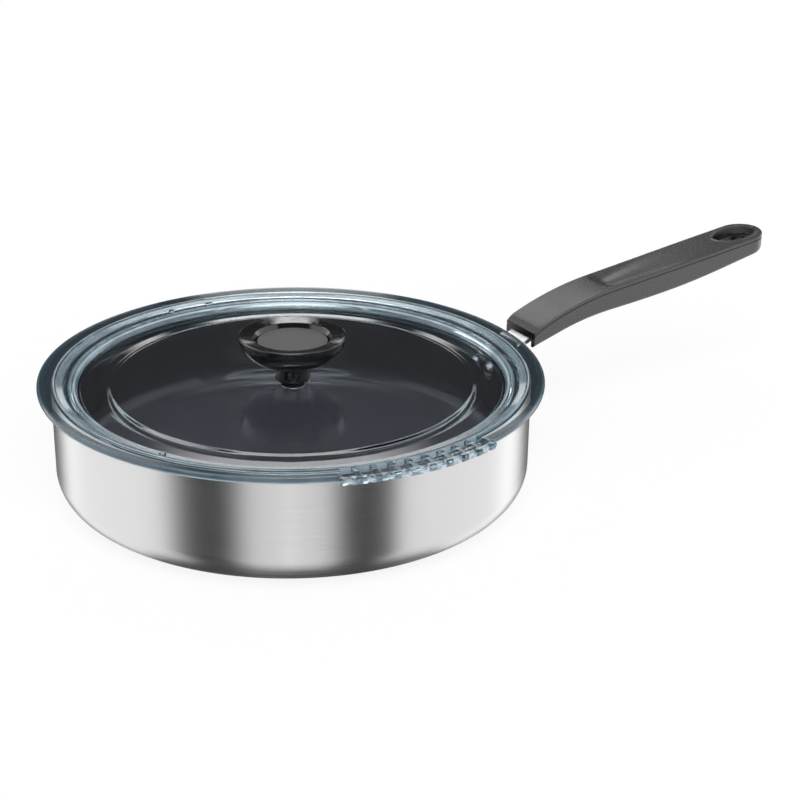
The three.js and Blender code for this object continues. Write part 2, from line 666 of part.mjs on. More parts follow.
function makeKnob() {
  const foot = KNOB_FOOT_Z;
  const top = foot + KNOB_HEIGHT;
  const recessR = KNOB_RIM_RADIUS - KNOB_RING_WIDTH;
  const recessFloor = top - KNOB_RECESS_DEPTH;
  const bowlZ = foot + KNOB_BOWL_AT;
  const bowlRun = KNOB_RIM_RADIUS - KNOB_BOWL_RADIUS;
  const bowlRise = top - bowlZ;
  const bowl = spaced(BOWL_FIRST_TURN, BOWL_LAST_TURN, ARC_STEPS).map((turn) => {
    const angle = THREE.MathUtils.degToRad(turn);
    return [KNOB_BOWL_RADIUS + bowlRun * Math.cos(angle), top + bowlRise * Math.sin(angle)];
  });
  const insertHoleR = INSERT_RADIUS + HOLE_CLEARANCE;
  const insertRoof = INSERT_Z + INSERT_LENGTH + SEAT_GAP;
  const sealHoleR = SEAL_RADIUS + HOLE_CLEARANCE;
  const profile = [
    [0, insertRoof],
    [insertHoleR, insertRoof],
    [insertHoleR, SEAL_RECESS_Z],
    [sealHoleR, SEAL_RECESS_Z],
    [sealHoleR, foot],
    [KNOB_FOOT_RADIUS, foot],
    [KNOB_STEM_RADIUS, foot + KNOB_STEM_HEIGHT],
    [KNOB_NECK_RADIUS, foot + KNOB_NECK_AT],
    ...bowl,
    [KNOB_RIM_RADIUS - KNOB_RIM_ROUND, top],
    [recessR, top - KNOB_RING_FALL],
    [recessR - KNOB_RECESS_DRAFT, recessFloor],
    [0, recessFloor],
  ];
  return named("lid_knob", turned(profile, KNOB_SEGMENTS), 0x17171a, 0.25, 0);
}

function makeDisc() {
  const bottom = KNOB_FOOT_Z + KNOB_HEIGHT - KNOB_RECESS_DEPTH + SEAT_GAP;
  const radius = KNOB_RIM_RADIUS - KNOB_RING_WIDTH - KNOB_RECESS_DRAFT - SEAT_GAP;
  const disc = rod(radius, bottom, bottom + DISC_THICKNESS, KNOB_SEGMENTS);
  return named("knob_disc", disc, 0x6e6e73, 0.45, 0.3);
}

function makeInsert() {
  const insert = ring(SHANK_HOLE_RADIUS, INSERT_RADIUS, INSERT_Z, INSERT_Z + INSERT_LENGTH);
  return named("knob_threaded_insert", insert, 0xb5924c, 0.35, 1);
}

function makeSeal(name, bottom) {
  const seal = ring(SHANK_HOLE_RADIUS, SEAL_RADIUS, bottom, bottom + SEAL_THICKNESS);
  return named(name, seal, 0x2a2a2c, 0.8, 0);
}

function makeWasher() {
  const washer = ring(SHANK_HOLE_RADIUS, WASHER_RADIUS, WASHER_Z, WASHER_Z + WASHER_THICKNESS);
  return named("knob_washer", washer, 0xbcbec1, 0.25, 1);
}

function makeKnobScrew() {
  const shankTop = INSERT_Z + INSERT_LENGTH - SEAT_GAP;
  const profile = [
    [0, SCREW_SEAT_Z - SCREW_HEAD_HEIGHT],
    [SCREW_HEAD_RADIUS - SCREW_CHAMFER, SCREW_SEAT_Z - SCREW_HEAD_HEIGHT],
    [SCREW_HEAD_RADIUS, SCREW_SEAT_Z - SCREW_HEAD_HEIGHT + SCREW_CHAMFER],
    [SCREW_HEAD_RADIUS, SCREW_SEAT_Z],
    [SCREW_RADIUS, SCREW_SEAT_Z],
    [SCREW_RADIUS, shankTop],
    [0, shankTop],
  ];
  return named("knob_screw", turned(profile, SMALL_SEGMENTS), 0xc3c5c8, 0.25, 1);
}

// Assembly

const pan = new THREE.Group();
pan.add(makeShell(), makeLining(), makeHeatCore(), makeBaseCap());
pan.add(makeRivet("rivet_left", 1), makeRivet("rivet_right", -1));

const handle = new THREE.Group();
handle.add(makeBracket(), makeGrip(), makeHandleScrew());

const lid = new THREE.Group();
lid.add(makeGlass(), makeKnob(), makeDisc(), makeInsert(), makeWasher(), makeKnobScrew());
lid.add(makeSeal("upper_seal", UPPER_SEAL_Z), makeSeal("lower_seal", LOWER_SEAL_Z));

const fryingPan = new THREE.Group();
fryingPan.add(pan, handle, lid);

export default fryingPan;
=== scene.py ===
"""Looks, floor, light and camera for a deep frying pan with a pressed glass lid.

Metres, +Z up, handle along +X.
"""

from math import asin, atan2, cos, hypot, pi, radians, sin, sqrt, tan, tau

import bmesh
import bpy
from mathutils import Matrix, Vector


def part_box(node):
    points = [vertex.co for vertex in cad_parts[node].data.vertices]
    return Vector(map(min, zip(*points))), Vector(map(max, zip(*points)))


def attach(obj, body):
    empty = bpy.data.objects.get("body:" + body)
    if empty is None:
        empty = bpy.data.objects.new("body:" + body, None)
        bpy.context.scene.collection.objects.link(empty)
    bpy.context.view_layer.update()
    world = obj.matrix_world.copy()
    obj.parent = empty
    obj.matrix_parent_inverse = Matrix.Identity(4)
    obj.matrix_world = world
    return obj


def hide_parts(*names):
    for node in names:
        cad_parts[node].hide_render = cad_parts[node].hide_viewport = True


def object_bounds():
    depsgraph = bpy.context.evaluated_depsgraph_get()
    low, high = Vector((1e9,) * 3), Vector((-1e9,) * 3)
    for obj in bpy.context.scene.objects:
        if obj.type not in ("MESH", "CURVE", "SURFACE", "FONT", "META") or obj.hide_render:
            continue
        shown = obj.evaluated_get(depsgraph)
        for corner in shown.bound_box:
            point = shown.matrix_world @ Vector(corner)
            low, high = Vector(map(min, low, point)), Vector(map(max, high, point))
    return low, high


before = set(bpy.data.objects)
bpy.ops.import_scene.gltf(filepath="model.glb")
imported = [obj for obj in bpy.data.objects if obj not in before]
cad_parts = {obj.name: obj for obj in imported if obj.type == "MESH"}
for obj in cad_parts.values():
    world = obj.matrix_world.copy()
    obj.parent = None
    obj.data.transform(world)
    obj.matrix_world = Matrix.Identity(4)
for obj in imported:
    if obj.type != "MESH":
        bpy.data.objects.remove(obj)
cad_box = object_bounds()

MM = 0.001
# Points closer than this are one
WELD = 0.005 * MM
# Faces and points closer than this to a level lie on it
NEAR = 0.1 * MM
# A radius and a height that no piece reaches
FAR = 1
# Facets that meet at less than this are one flat face
FACET_ANGLE = radians(1)

# Places read from the frame
SHELL_LOW, SHELL_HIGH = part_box("pan_shell")
LINING_LOW, LINING_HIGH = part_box("nonstick_lining")
CAP_LOW, CAP_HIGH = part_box("base_induction_cap")
GRIP_LOW, GRIP_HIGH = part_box("handle_grip")
GLASS_LOW, GLASS_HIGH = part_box("lid_glass")
KNOB_LOW, KNOB_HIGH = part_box("lid_knob")
DISC_LOW, DISC_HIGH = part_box("knob_disc")
_, SEAL_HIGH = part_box("upper_seal")
_, INSERT_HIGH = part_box("knob_threaded_insert")

# Photograph
IMAGE_SIZE = 800
FOCAL_PIXELS = 1703.5
SENSOR_WIDTH = 36
VIEW_AZIMUTH = radians(-28)
VIEW_ELEVATION = radians(22.22)
VIEW_ROLL = radians(0.622)
VIEW_DISTANCE = 941.1 * MM
VIEW_TARGET = Vector((0, 0, 64 * MM))
TARGET_PIXEL = (292.93, 377.53)
CAMERA_NEAR = 0.01

# Pan
SHELL_WALL = 0.8 * MM
SHELL_CORNER = 15.8 * MM
SHELL_LIP_ROUND = 0.35 * MM
LINING_WALL = 0.5 * MM
LINING_CORNER = 14.7 * MM
LINING_LIP_ROUND = 0.2 * MM
# Painted light and shade: the coating turns from a paler, lit floor colour to a darker, shaded wall colour
# between two heights
NONSTICK_SHADE_HEIGHTS = (9 * MM, 22 * MM)
NONSTICK_LIT_FLOOR = (0.108, 0.092, 0.112, 1)
NONSTICK_SHADED_WALL = (0.034, 0.030, 0.037, 1)
NONSTICK_CLOUD = (0.078, 0.070, 0.085, 1)
NONSTICK_FLECK = (0.11, 0.11, 0.125, 1)
BASE_WALL = 0.6 * MM
BASE_EDGE_ROUND = 0.5 * MM
BASE_GROOVES = 9
BASE_GROOVE_PITCH = 11 * MM
BASE_GROOVE_WIDTH = 1.2 * MM
BASE_GROOVE_DEPTH = 0.25 * MM
PAN_ROUND_STEPS = 16

# Rivets
RIVET_HEAD_HEIGHT = 2.4 * MM
RIVET_HEAD_EDGE = 0.15 * MM
RIVET_SHANK_RADIUS = 2.5 * MM
RIVET_TAIL_RADIUS = 3.6 * MM
RIVET_TAIL_HEIGHT = 1.4 * MM
RIVET_HEAD_ROUND = 0.2 * MM
RIVET_TAIL_ROUND = 0.9 * MM
RIVET_DOME_STEPS = 10

# Bracket
BRACKET_EDGE_ROUND = 0.45 * MM
BRACKET_PAINTED_SHADE = (0.012, 0.017, 0.022, 1)
# Painted shade of the lid: its arm is darkened above a height, out to a distance past the lid's edge, and
# the shade fades over a short run
SHADE_FOOT = 50 * MM
SHADE_REACH = 6 * MM
SHADE_FADE = 2 * MM

# Handle
HANDLE_SLOPE = radians(7.55)
HANDLE_FRONT_TOP = 67.1 * MM
HANDLE_NECK_LENGTH = 58 * MM
HANDLE_NECK_RADIUS = 190 * MM
# Widths and depths along the handle in millimetres: distance from its front, size
HANDLE_WIDTHS = ((0, 28.8), (51, 28), (136, 30))
HANDLE_DEPTHS = ((0, 10.4), (17, 12.3), (106, 15.2), (181.5, 10.3))
HANDLE_END_LENGTH = 13.4 * MM
HANDLE_EDGE_ROUND = 0.7 * MM
HANDLE_UNDER_ROUND = 2.2 * MM
HANDLE_GROOVE_DROP = 1.7 * MM
HANDLE_GROOVE_WIDTH = 0.9 * MM
HANDLE_GROOVE_DEPTH = 0.6 * MM
HANDLE_FRONT_ROLL = 1.6 * MM
HANDLE_FRONT_ROLL_LENGTH = 5 * MM
HANDLE_LONG_STEPS = 110
HANDLE_TOP_STEPS = 28
HANDLE_FLOOR_STEPS = 8
# Turns of its rounded edges and of its rounded tip, in degrees
HANDLE_EDGE_TURNS = (30, 60, 90)
HANDLE_UNDER_TURNS = (0, 22.5, 45, 67.5, 90)
HANDLE_TIP_TURNS = range(0, 89, 4)
HANDLE_SHARP = radians(32)
# Its front face is painted black as shade, and the painted shade fades out between two distances behind the
# face
HANDLE_FRONT_SHADE_FADE = (0.1 * MM, 0.5 * MM)
# Pocket for the bracket's arm, open below: half width, roof, corner, length
ARM_POCKET = (11 * MM, 5 * MM, 2 * MM, 40 * MM)
POCKET_OPENING = 20 * MM
POCKET_LEAD = 12 * MM
POCKET_STEPS = 30
DISH_START = 54 * MM
DISH_END = 146 * MM
DISH_EDGE = 1.6 * MM
DISH_DEPTH = 3.2 * MM
DISH_FRONT_RUN = 9 * MM
DISH_FULLNESS = 0.8
EYE_FROM_TIP = 18.6 * MM
EYE_RING = (16.6 * MM, 12.2 * MM)
EYE_MOUTH = (14.5 * MM, 10 * MM)
EYE_HOLE = (11.5 * MM, 7 * MM)
EYE_MOUTH_DEPTH = 4.5 * MM
EYE_RING_RISE = 0.8 * MM
# Share of the mouth's ellipse that is black all through
EYE_BLACK = 0.94
EYE_X = GRIP_HIGH.x - EYE_FROM_TIP
# Collar round the eye and bore through it, from below: outline, its growth, height over the handle's top
EYE_COLLAR = (
    (EYE_RING, 0, -2 * EYE_RING_RISE),
    (EYE_RING, 0, 0),
    (EYE_RING, -0.3 * MM, EYE_RING_RISE * 0.8),
    (EYE_RING, -0.9 * MM, EYE_RING_RISE),
    (EYE_MOUTH, 0.6 * MM, EYE_RING_RISE),
)
EYE_BORE = (
    (EYE_HOLE, 0, -30 * MM),
    (EYE_HOLE, 0, -EYE_MOUTH_DEPTH - 0.6 * MM),
    (EYE_HOLE, 0.5 * MM, -EYE_MOUTH_DEPTH),
    (EYE_MOUTH, -0.6 * MM, -EYE_MOUTH_DEPTH + 0.3 * MM),
    (EYE_MOUTH, -0.2 * MM, -EYE_MOUTH_DEPTH + 1 * MM),
    (EYE_MOUTH, 0, 0),
    (EYE_MOUTH, 0.25 * MM, EYE_RING_RISE - 0.25 * MM),
    (EYE_MOUTH, 1.2 * MM, EYE_RING_RISE + 0.4 * MM),
)

# Lid glass
FLANGE_RADIUS = GLASS_HIGH.x
GLASS_PAINTED_GLOW = (0.66, 0.82, 0.92, 1)
GLASS_TINT = (0.96, 0.985, 0.99, 1)
GLASS_ABSORBS = (0.36, 0.76, 0.92, 1)
GLASS_DENSITY = 34.0
# Rings painted with a pale glow as highlights, where the pressed edges catch light, in millimetres: inner
# and outer radius, softness, and then a share
GLASS_GLOW_RINGS = (
    (118.0, 119.4, 0.35, 0.6),
    (120.2, 121.8, 0.3, 0.32),
    (124.7, 128.6, 0.4, 0.24),
    (129.0, 129.9, 0.35, 0.55),
    (137.3, 138.4, 0.5, 0.6),
    (138.4, 145, 0.5, 0.22),
)
GLASS_PAINTED_SHADE = (0.03, 0.055, 0.075, 1)
# Rings of painted shade, where the glass turns the light away, in the same way
GLASS_SHADE_RINGS = (
    (122.2, 123.9, 0.3, 0.7),
    (134.2, 140, 0.6, 0.75),
)
# The lower part of the flange keeps its whole painted glow, up to a height over its underside
GLASS_EDGE_GLOW = 1.1 * MM
GLASS_EDGE_FADE = 0.5 * MM
# The comb keeps a share of the rings' painted glow and painted shade
GLASS_COMB_SHARE = 0.7
GLASS_COMB_FADE = 0.2 * MM
# The outer edge, by its distance in from the lid's radius, loses a share of its painted glow in its upper
# part
GLASS_EDGE_BAND = (1.6 * MM, 1.1 * MM)
GLASS_EDGE_LOSS = 0.85
FLANGE_THICKNESS = 3.5 * MM
FLANGE_WIDTH = 8.9 * MM
FLANGE_EDGE_ROUND = 1.1 * MM
FLANGE_EDGE_TURNS = range(-75, 76, 15)
FLANGE_STEPS = 4
PANEL_THICKNESS = 4 * MM
PANEL_RING_RADIUS = 100 * MM
PANEL_RING_WIDTH = 4 * MM
PANEL_RING_RISE = 0.46 * MM
MOAT_SLOPE = radians(2.6)
MOAT_RADIUS = 106.5 * MM
MOAT_BEND = 12 * MM
WELL_RADIUS = 117.3 * MM
WELL_SLOPE = radians(3.2)
# Terraces from the flange down to the well, in millimetres: radius, drop from the flange's top, round
LID_TERRACES = (
    (129.1, 0, 0.3),
    (128.2, 0.75, 0.3),
    (124.8, 1.6, 0.4),
    (124.2, 2.1, 0.4),
    (122.0, 2.3, 0.4),
    (120.9, 3.0, 0.4),
    (118.4, 3.2, 0.4),
)
WELL_ROUND = 0.5 * MM
UNDER_PANEL_RADIUS = 116 * MM
UNDER_PANEL_ROUND = 5 * MM
UNDER_RIM_RADIUS = 126 * MM
UNDER_RIM_DROP = 0.8 * MM
UNDER_RIM_ROUND = 2 * MM
UNDER_STEP_WIDTH = 0.6 * MM
UNDER_STEP_ROUND = 0.4 * MM
PANEL_RING_STEPS = 10
GLASS_EDGE_BEVEL = 0.22 * MM
GLASS_EDGE_ANGLE = radians(50)
LID_HOLE_RADIUS = 3.2 * MM
COMB_DIRECTION = radians(-90.7)
COMB_PITCH = radians(4.1)
COMB_SLOTS = 9
COMB_STEPS = 12
COMB_SLOT_STEPS = 8
COMB_SLOT_END = 0.3 * MM
COMB_HANG = 0.6 * MM
COMB_NOTCH = 1.4 * MM
COMB_NOTCH_SHARPNESS = 10
SPOUT_DIRECTION = radians(92.2)
SPOUT_WIDTH = 29 * MM
SPOUT_DEPTH = 1.6 * MM
SPOUT_END = 0.8 * MM
SPOUT_HALF = SPOUT_WIDTH / 2 / FLANGE_RADIUS
LUG_DIRECTIONS = (
    radians(-28),
    radians(-149.4),
    SPOUT_DIRECTION - SPOUT_HALF,
    SPOUT_DIRECTION + SPOUT_HALF,
)
LUG_WIDTH = 3.4 * MM
LUG_RISE = 1.3 * MM
LUG_RADII = (121.6 * MM, 124 * MM)
LUG_DROP = 2.4 * MM
LUG_EDGE_RADIUS = 124.6 * MM
LUG_HALF = LUG_WIDTH / 2 / LUG_EDGE_RADIUS
LID_STEPS = 480

# Knob
KNOB_RING_WIDTH = 8 * MM
KNOB_RECESS_DEPTH = 4.8 * MM
KNOB_RECESS_DRAFT = 2 * MM
KNOB_RING_FALL = 1.2 * MM
KNOB_STEM_RADIUS = 9.8 * MM
KNOB_STEM_HEIGHT = 8.5 * MM
KNOB_BOWL_RADIUS = 13 * MM
KNOB_BOWL_HEIGHT = 10.5 * MM
KNOB_BOWL_TURNS = range(-66, -9, 6)
KNOB_CLEARANCE = 0.3 * MM
KNOB_FOOT_INSET = 0.4 * MM
KNOB_FOOT_ROUND = 0.5 * MM
KNOB_FOOT_HEIGHT = 2 * MM
KNOB_FOOT_BEND = 2 * MM
KNOB_STEM_FLARE = 0.5 * MM
KNOB_STEM_ROUND = 2.5 * MM
KNOB_RIM_HEIGHT = 0.8 * MM
KNOB_RIM_DRAFT = 0.1 * MM
KNOB_RIM_ROUND = 0.7 * MM
KNOB_RECESS_ROUND = 0.5 * MM
KNOB_FLOOR_ROUND = 0.3 * MM
DISC_EDGE_ROUND = 0.35 * MM
FASTENER_EDGE_ROUND = 0.4 * MM

# Plastics
PLASTIC_SPREAD = 0.12
PLASTIC_BLUE = 0.03
DARK_PART_LEVEL = 0.006
DARK_PART_ROUGHNESS = 0.15

# Steps round a full turn
ROUND_STEPS = 288
KNOB_STEPS = 160
SMALL_STEPS = 48


# Meshes


def rounded(corners, steps=6):
    """Outline points through corners (across, up, radius), each corner turned into an arc of its radius."""
    points = []
    count = len(corners)
    for i, (across, up, radius) in enumerate(corners):
        here = Vector((across, up))
        if not radius:
            points.append(here)
            continue
        before = (Vector(corners[i - 1][:2]) - here).normalized()
        after = (Vector(corners[(i + 1) % count][:2]) - here).normalized()
        half = before.angle(after) / 2
        centre = here + (before + after).normalized() * radius / sin(half)
        start = here + before * radius / tan(half) - centre
        sweep = start.angle_signed(here + after * radius / tan(half) - centre)
        for step in range(steps + 1):
            turn = -sweep * step / steps
            points.append(centre + Matrix.Rotation(turn, 2) @ start)
    return points


def turned(profile, steps=ROUND_STEPS, closed=False):
    """A bmesh of a profile of (radius, height) points turned about the Z axis."""
    mesh = bmesh.new()
    points = [mesh.verts.new((radius, 0, height)) for radius, height in profile]
    edges = [mesh.edges.new(pair) for pair in zip(points, points[1:])]
    if closed:
        edges.append(mesh.edges.new((points[-1], points[0])))
    bmesh.ops.spin(
        mesh, geom=points + edges, axis=(0, 0, 1), cent=(0, 0, 0), angle=tau, steps=steps, use_merge=True
    )
    return mesh


def swept(rings):
    """A closed bmesh skin over rings of points, the first ring extruded from each place to the next."""
    mesh = bmesh.new()
    ring = [mesh.verts.new(point) for point in rings[0]]
    mesh.faces.new(ring)
    for points in rings[1:]:
        edges = [mesh.edges.get(pair) for pair in zip(ring, ring[1:] + ring[:1])]
        made = bmesh.ops.extrude_edge_only(mesh, edges=edges)["geom"]
        copies = {tuple(vert.co): vert for vert in made if isinstance(vert, bmesh.types.BMVert)}
        ring = [copies[tuple(vert.co)] for vert in ring]
        for vert, point in zip(ring, points):
            vert.co = point
    mesh.faces.new(ring)
    return mesh


def ellipse_ring(half_length, half_width, height, steps=SMALL_STEPS * 2):
    """Points round an upright ellipse at a height."""
    turns = [tau * step / steps for step in range(steps)]
    return [Vector((half_length * cos(turn), half_width * sin(turn), height)) for turn in turns]


def mesh_data(mesh, name):
    """The bmesh as welded mesh data, with its faces turned outwards."""
    bmesh.ops.remove_doubles(mesh, verts=mesh.verts, dist=WELD)
    bmesh.ops.recalc_face_normals(mesh, faces=mesh.faces)
    data = bpy.data.meshes.new(name)
    mesh.to_mesh(data)
    mesh.free()
    return data


def piece_of(mesh, name, material, sharp=35):
    """A bmesh as an object with its finish, smooth apart from edges sharper than an angle in degrees."""
    data = mesh_data(mesh, name)
    data.materials.append(material)
    data.shade_smooth()
    data.set_sharp_from_angle(angle=radians(sharp))
    piece = bpy.data.objects.new(name, data)
    bpy.context.scene.collection.objects.link(piece)
    return piece


def fitted(piece, body, slot, *nodes):
    """Puts a piece on a body with even shading and lets it stand for CAD nodes, which it hides; the slot is
    not used.
    """
    shading = piece.modifiers.new("even_shading", "WEIGHTED_NORMAL")
    shading.keep_sharp = True
    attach(piece, body)
    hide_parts(*nodes)
    return piece


def carved(piece, tool, operation):
    """Cuts a bmesh tool out of a piece, or joins it on."""
    cutter = bpy.data.objects.new("cutter", mesh_data(tool, "cutter"))
    bpy.context.scene.collection.objects.link(cutter)
    modifier = piece.modifiers.new("carve", "BOOLEAN")
    modifier.object = cutter
    modifier.operation = operation
    modifier.solver = "EXACT"
    evaluated = piece.evaluated_get(bpy.context.evaluated_depsgraph_get())
    data = bpy.data.meshes.new_from_object(evaluated)
    piece.modifiers.remove(modifier)
    old = piece.data
    piece.data = data
    bpy.data.meshes.remove(old)
    bpy.data.objects.remove(cutter)


def softened(node, name, material, radius, sharp=30):
    """A copy of a CAD node with its flat facets joined and its sharp edges rounded."""
    mesh = bmesh.new()
    mesh.from_mesh(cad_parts[node].data)
    bmesh.ops.remove_doubles(mesh, verts=mesh.verts, dist=WELD)
    bmesh.ops.dissolve_limit(mesh, angle_limit=FACET_ANGLE, verts=mesh.verts, edges=mesh.edges)
    edges = [edge for edge in mesh.edges if edge.is_manifold and edge.calc_face_angle() > radians(sharp)]
    bevel = {"affect": "EDGES", "segments": 3, "profile": 0.5, "material": -1, "clamp_overlap": True}
    bmesh.ops.bevel(mesh, geom=edges, offset=radius, **bevel)
    return piece_of(mesh, name, material, sharp)


# Shader maths


class Value:
    """A shader socket that takes part in Python expressions."""

    def __init__(self, shader, socket):
        self.shader = shader
        self.socket = socket

    def math(self, operation, *others):
        inputs = dict(enumerate((self, *others)))
        return self.shader.add("Math", inputs, operation=operation)

    def __add__(self, other):
        return self.math("ADD", other)

    def __mul__(self, other):
        return self.math("MULTIPLY", other)

    def __sub__(self, other):
        return self.math("SUBTRACT", other)

    def __rsub__(self, other):
        return self.shader.add("Math", {0: other, 1: self}, operation="SUBTRACT")

    __radd__ = __add__
    __rmul__ = __mul__


class Shader:
    """A node tree, with one method that adds a node."""

    def __init__(self, tree):
        self.tree = tree

    def add(self, kind, inputs=None, output=0, **settings):
        """Adds a node with its settings, fills its inputs with values or links, and returns one output."""
        node = self.tree.nodes.new("ShaderNode" + kind)
        for name, setting in settings.items():
            setattr(node, name, setting)
        self.fill(node, inputs or {})
        return Value(self, node.outputs[output])

    def fill(self, node, inputs):
        for name, value in inputs.items():
            if isinstance(value, Value):
                self.tree.links.new(value.socket, node.inputs[name])
            else:
                node.inputs[name].default_value = value

    def place(self):
        """The point on the piece, in metres."""
        return self.add("TexCoord", output="Object")

    def parts(self, vector):
        """X, Y and Z of a vector."""
        split = self.add("SeparateXYZ", {0: vector}).socket.node
        return [Value(self, socket) for socket in split.outputs]

    def joined(self, x, y, z):
        return self.add("CombineXYZ", {0: x, 1: y, 2: z})

    def noise(self, vector, scale, detail=2, roughness=0.5):
        inputs = {"Vector": vector, "Scale": scale, "Detail": detail, "Roughness": roughness}
        return self.add("TexNoise", inputs)

    def range(self, value, low, high, to_low=0, to_high=1):
        """A value taken smoothly from one range to another, held at its ends."""
        inputs = {"Value": value, "From Min": low, "From Max": high, "To Min": to_low, "To Max": to_high}
        return self.add("MapRange", inputs, interpolation_type="SMOOTHSTEP")

    def mixed(self, first, second, share):
        """One colour turned into another by a share."""
        return self.add("Mix", {0: share, 6: first, 7: second}, output=2, data_type="RGBA")

    def bump(self, height, distance, strength=1):
        return self.add("Bump", {"Height": height, "Distance": distance, "Strength": strength})


class Finish(Shader):
    """A material on one Principled surface."""

    def __init__(self, name, **constants):
        self.material = bpy.data.materials.new(name)
        self.material.use_nodes = True
        super().__init__(self.material.node_tree)
        self.surface = self.tree.nodes["Principled BSDF"]
        self.set(**constants)

    def set(self, **inputs):
        """Sets sockets of the surface by name, with _ for a space."""
        self.fill(self.surface, {name.replace("_", " "): value for name, value in inputs.items()})
        return self


# Finishes


def grey(level, warmth=0.0, blue=0.0):
    return (level * (1 + warmth), level, level * (1 + blue), 1)


def brushed_steel(name, level=0.62, roughness=0.3, lines=2600, anisotropic=0.85):
    """Steel brushed in rings round the Z axis, on the wall and on the floor alike."""
    finish = Finish(name, Metallic=1.0, Anisotropic=anisotropic, Anisotropic_Rotation=0.25)
    x, y, z = finish.parts(finish.place())
    radius = (x * x + y * y).math("SQRT")
    along = finish.joined(x * 30, y * 30, (z - radius) * lines)
    streak = finish.noise(along, 1, 3, 0.6)
    cloud = finish.noise(finish.place(), 14, 3)
    colour = finish.mixed(grey(level * 0.93, 0.004, 0.012), grey(level * 1.05, 0.004, 0.008), streak)
    finish.set(
        Base_Color=colour,
        Roughness=finish.range(streak, 0.2, 0.8, roughness - 0.05, roughness + 0.06) + cloud * 0.04,
        Normal=finish.bump(streak, 0.012 * MM),
    )
    return finish.material


def under_lid_shade(finish):
    """1 on the bracket's arm close to the pan's wall, under the lid's edge, where shade is painted."""
    x, y, z = finish.parts(finish.place())
    radius = (x * x + y * y).math("SQRT")
    reach = FLANGE_RADIUS + SHADE_REACH
    close = finish.range(radius, reach, reach + SHADE_FADE, 1, 0)
    return close * finish.range(z, SHADE_FOOT - SHADE_FADE, SHADE_FOOT)


def plain_metal(name, colour, roughness, painted_shade=None):
    """A small metal part with faint tool marks, and dark painted shade where a mask for it is given."""
    finish = Finish(name, Metallic=1.0)
    x, y, z = finish.parts(finish.place())
    marks = finish.noise(finish.joined(x * 60, y * 60, z * 2400), 1, 3, 0.6)
    cloud = finish.noise(finish.place(), 160, 3)
    darker = tuple(0.86 * channel for channel in colour)
    metal = finish.mixed((*darker, 1), (*colour, 1), cloud)
    # Painted shade: the masked part turns dark, standing for the lid's shadow
    if painted_shade:
        metal = finish.mixed(metal, BRACKET_PAINTED_SHADE, painted_shade(finish))
    finish.set(
        Base_Color=metal,
        Roughness=finish.range(marks, 0.2, 0.8, roughness - 0.06, roughness + 0.08),
        Normal=finish.bump(marks, 0.01 * MM),
    )
    return finish.material


def nonstick_coat(name):
    """Dark sprayed coating with fine mineral flecks and a slight orange peel, painted paler on its floor
    and darker up its wall as light and shade.
    """
    finish = Finish(name, Specular_IOR_Level=0.5)
    place = finish.place()
    peel = finish.noise(place, 900, 2)
    cloud = finish.noise(place, 22, 3)
    fleck = finish.range(finish.noise(place, 2600, 1), 0.68, 0.78)
    _, _, z = finish.parts(place)
    # Painted light and shade: paler floor, darker wall
    base = finish.mixed(NONSTICK_LIT_FLOOR, NONSTICK_SHADED_WALL, finish.range(z, *NONSTICK_SHADE_HEIGHTS))
    base = finish.mixed(base, NONSTICK_CLOUD, cloud * 0.3)
    finish.set(
        Base_Color=finish.mixed(base, NONSTICK_FLECK, fleck * 0.5),
        Roughness=finish.range(cloud, 0.3, 0.7, 0.09, 0.12),
        Normal=finish.bump(peel, 0.02 * MM, 0.5),
    )
    return finish.material


def black_eye_and_front_shade(finish):
    """1 inside the mouth of the handle's hanging eye, which is made black, and on its front face, where the
    black is painted shade.
    """
    x, y, _ = finish.parts(finish.place())
    along = (x - EYE_X) * (1 / EYE_MOUTH[0])
    across = y * (1 / EYE_MOUTH[1])
    eye = finish.range(along * along + across * across, EYE_BLACK, 1, 1, 0)
    start, end = HANDLE_FRONT_SHADE_FADE
    # Painted shade on the handle's front face
    front_shade = finish.range(x, GRIP_LOW.x + start, GRIP_LOW.x + end, 1, 0)
    return eye.math("MAXIMUM", front_shade)


def moulded_plastic(name, level, roughness, grain, grain_scale, shine=0.5, dark_part=None):
    """Plastic with the fine grain of its mould, and a black glossy part where one is given: on the handle,
    the eye's mouth and, as painted shade, the front face.
    """
    finish = Finish(name, Specular_IOR_Level=shine)
    place = finish.place()
    texture = finish.noise(place, grain_scale, 3, 0.6)
    cloud = finish.noise(place, 35, 3)
    darker, lighter = level * (1 - PLASTIC_SPREAD), level * (1 + PLASTIC_SPREAD)
    colour = finish.mixed(grey(darker, blue=PLASTIC_BLUE), grey(lighter, blue=PLASTIC_BLUE), cloud)
    pits = finish.range(texture, 0.35, 0.6, 0.5, 0)
    colour = finish.mixed(colour, grey(level * 0.8, blue=PLASTIC_BLUE), pits)
    gloss = finish.range(texture, 0.3, 0.7, roughness - 0.05, roughness + 0.07) + cloud * 0.05
    # The dark part is black and glossy; on the handle's front face it is painted shade
    if dark_part:
        inside = dark_part(finish)
        colour = finish.mixed(colour, grey(DARK_PART_LEVEL), inside)
        gloss = gloss - inside * (roughness - DARK_PART_ROUGHNESS)
    finish.set(Base_Color=colour, Roughness=gloss, Normal=finish.bump(texture, grain))
    return finish.material


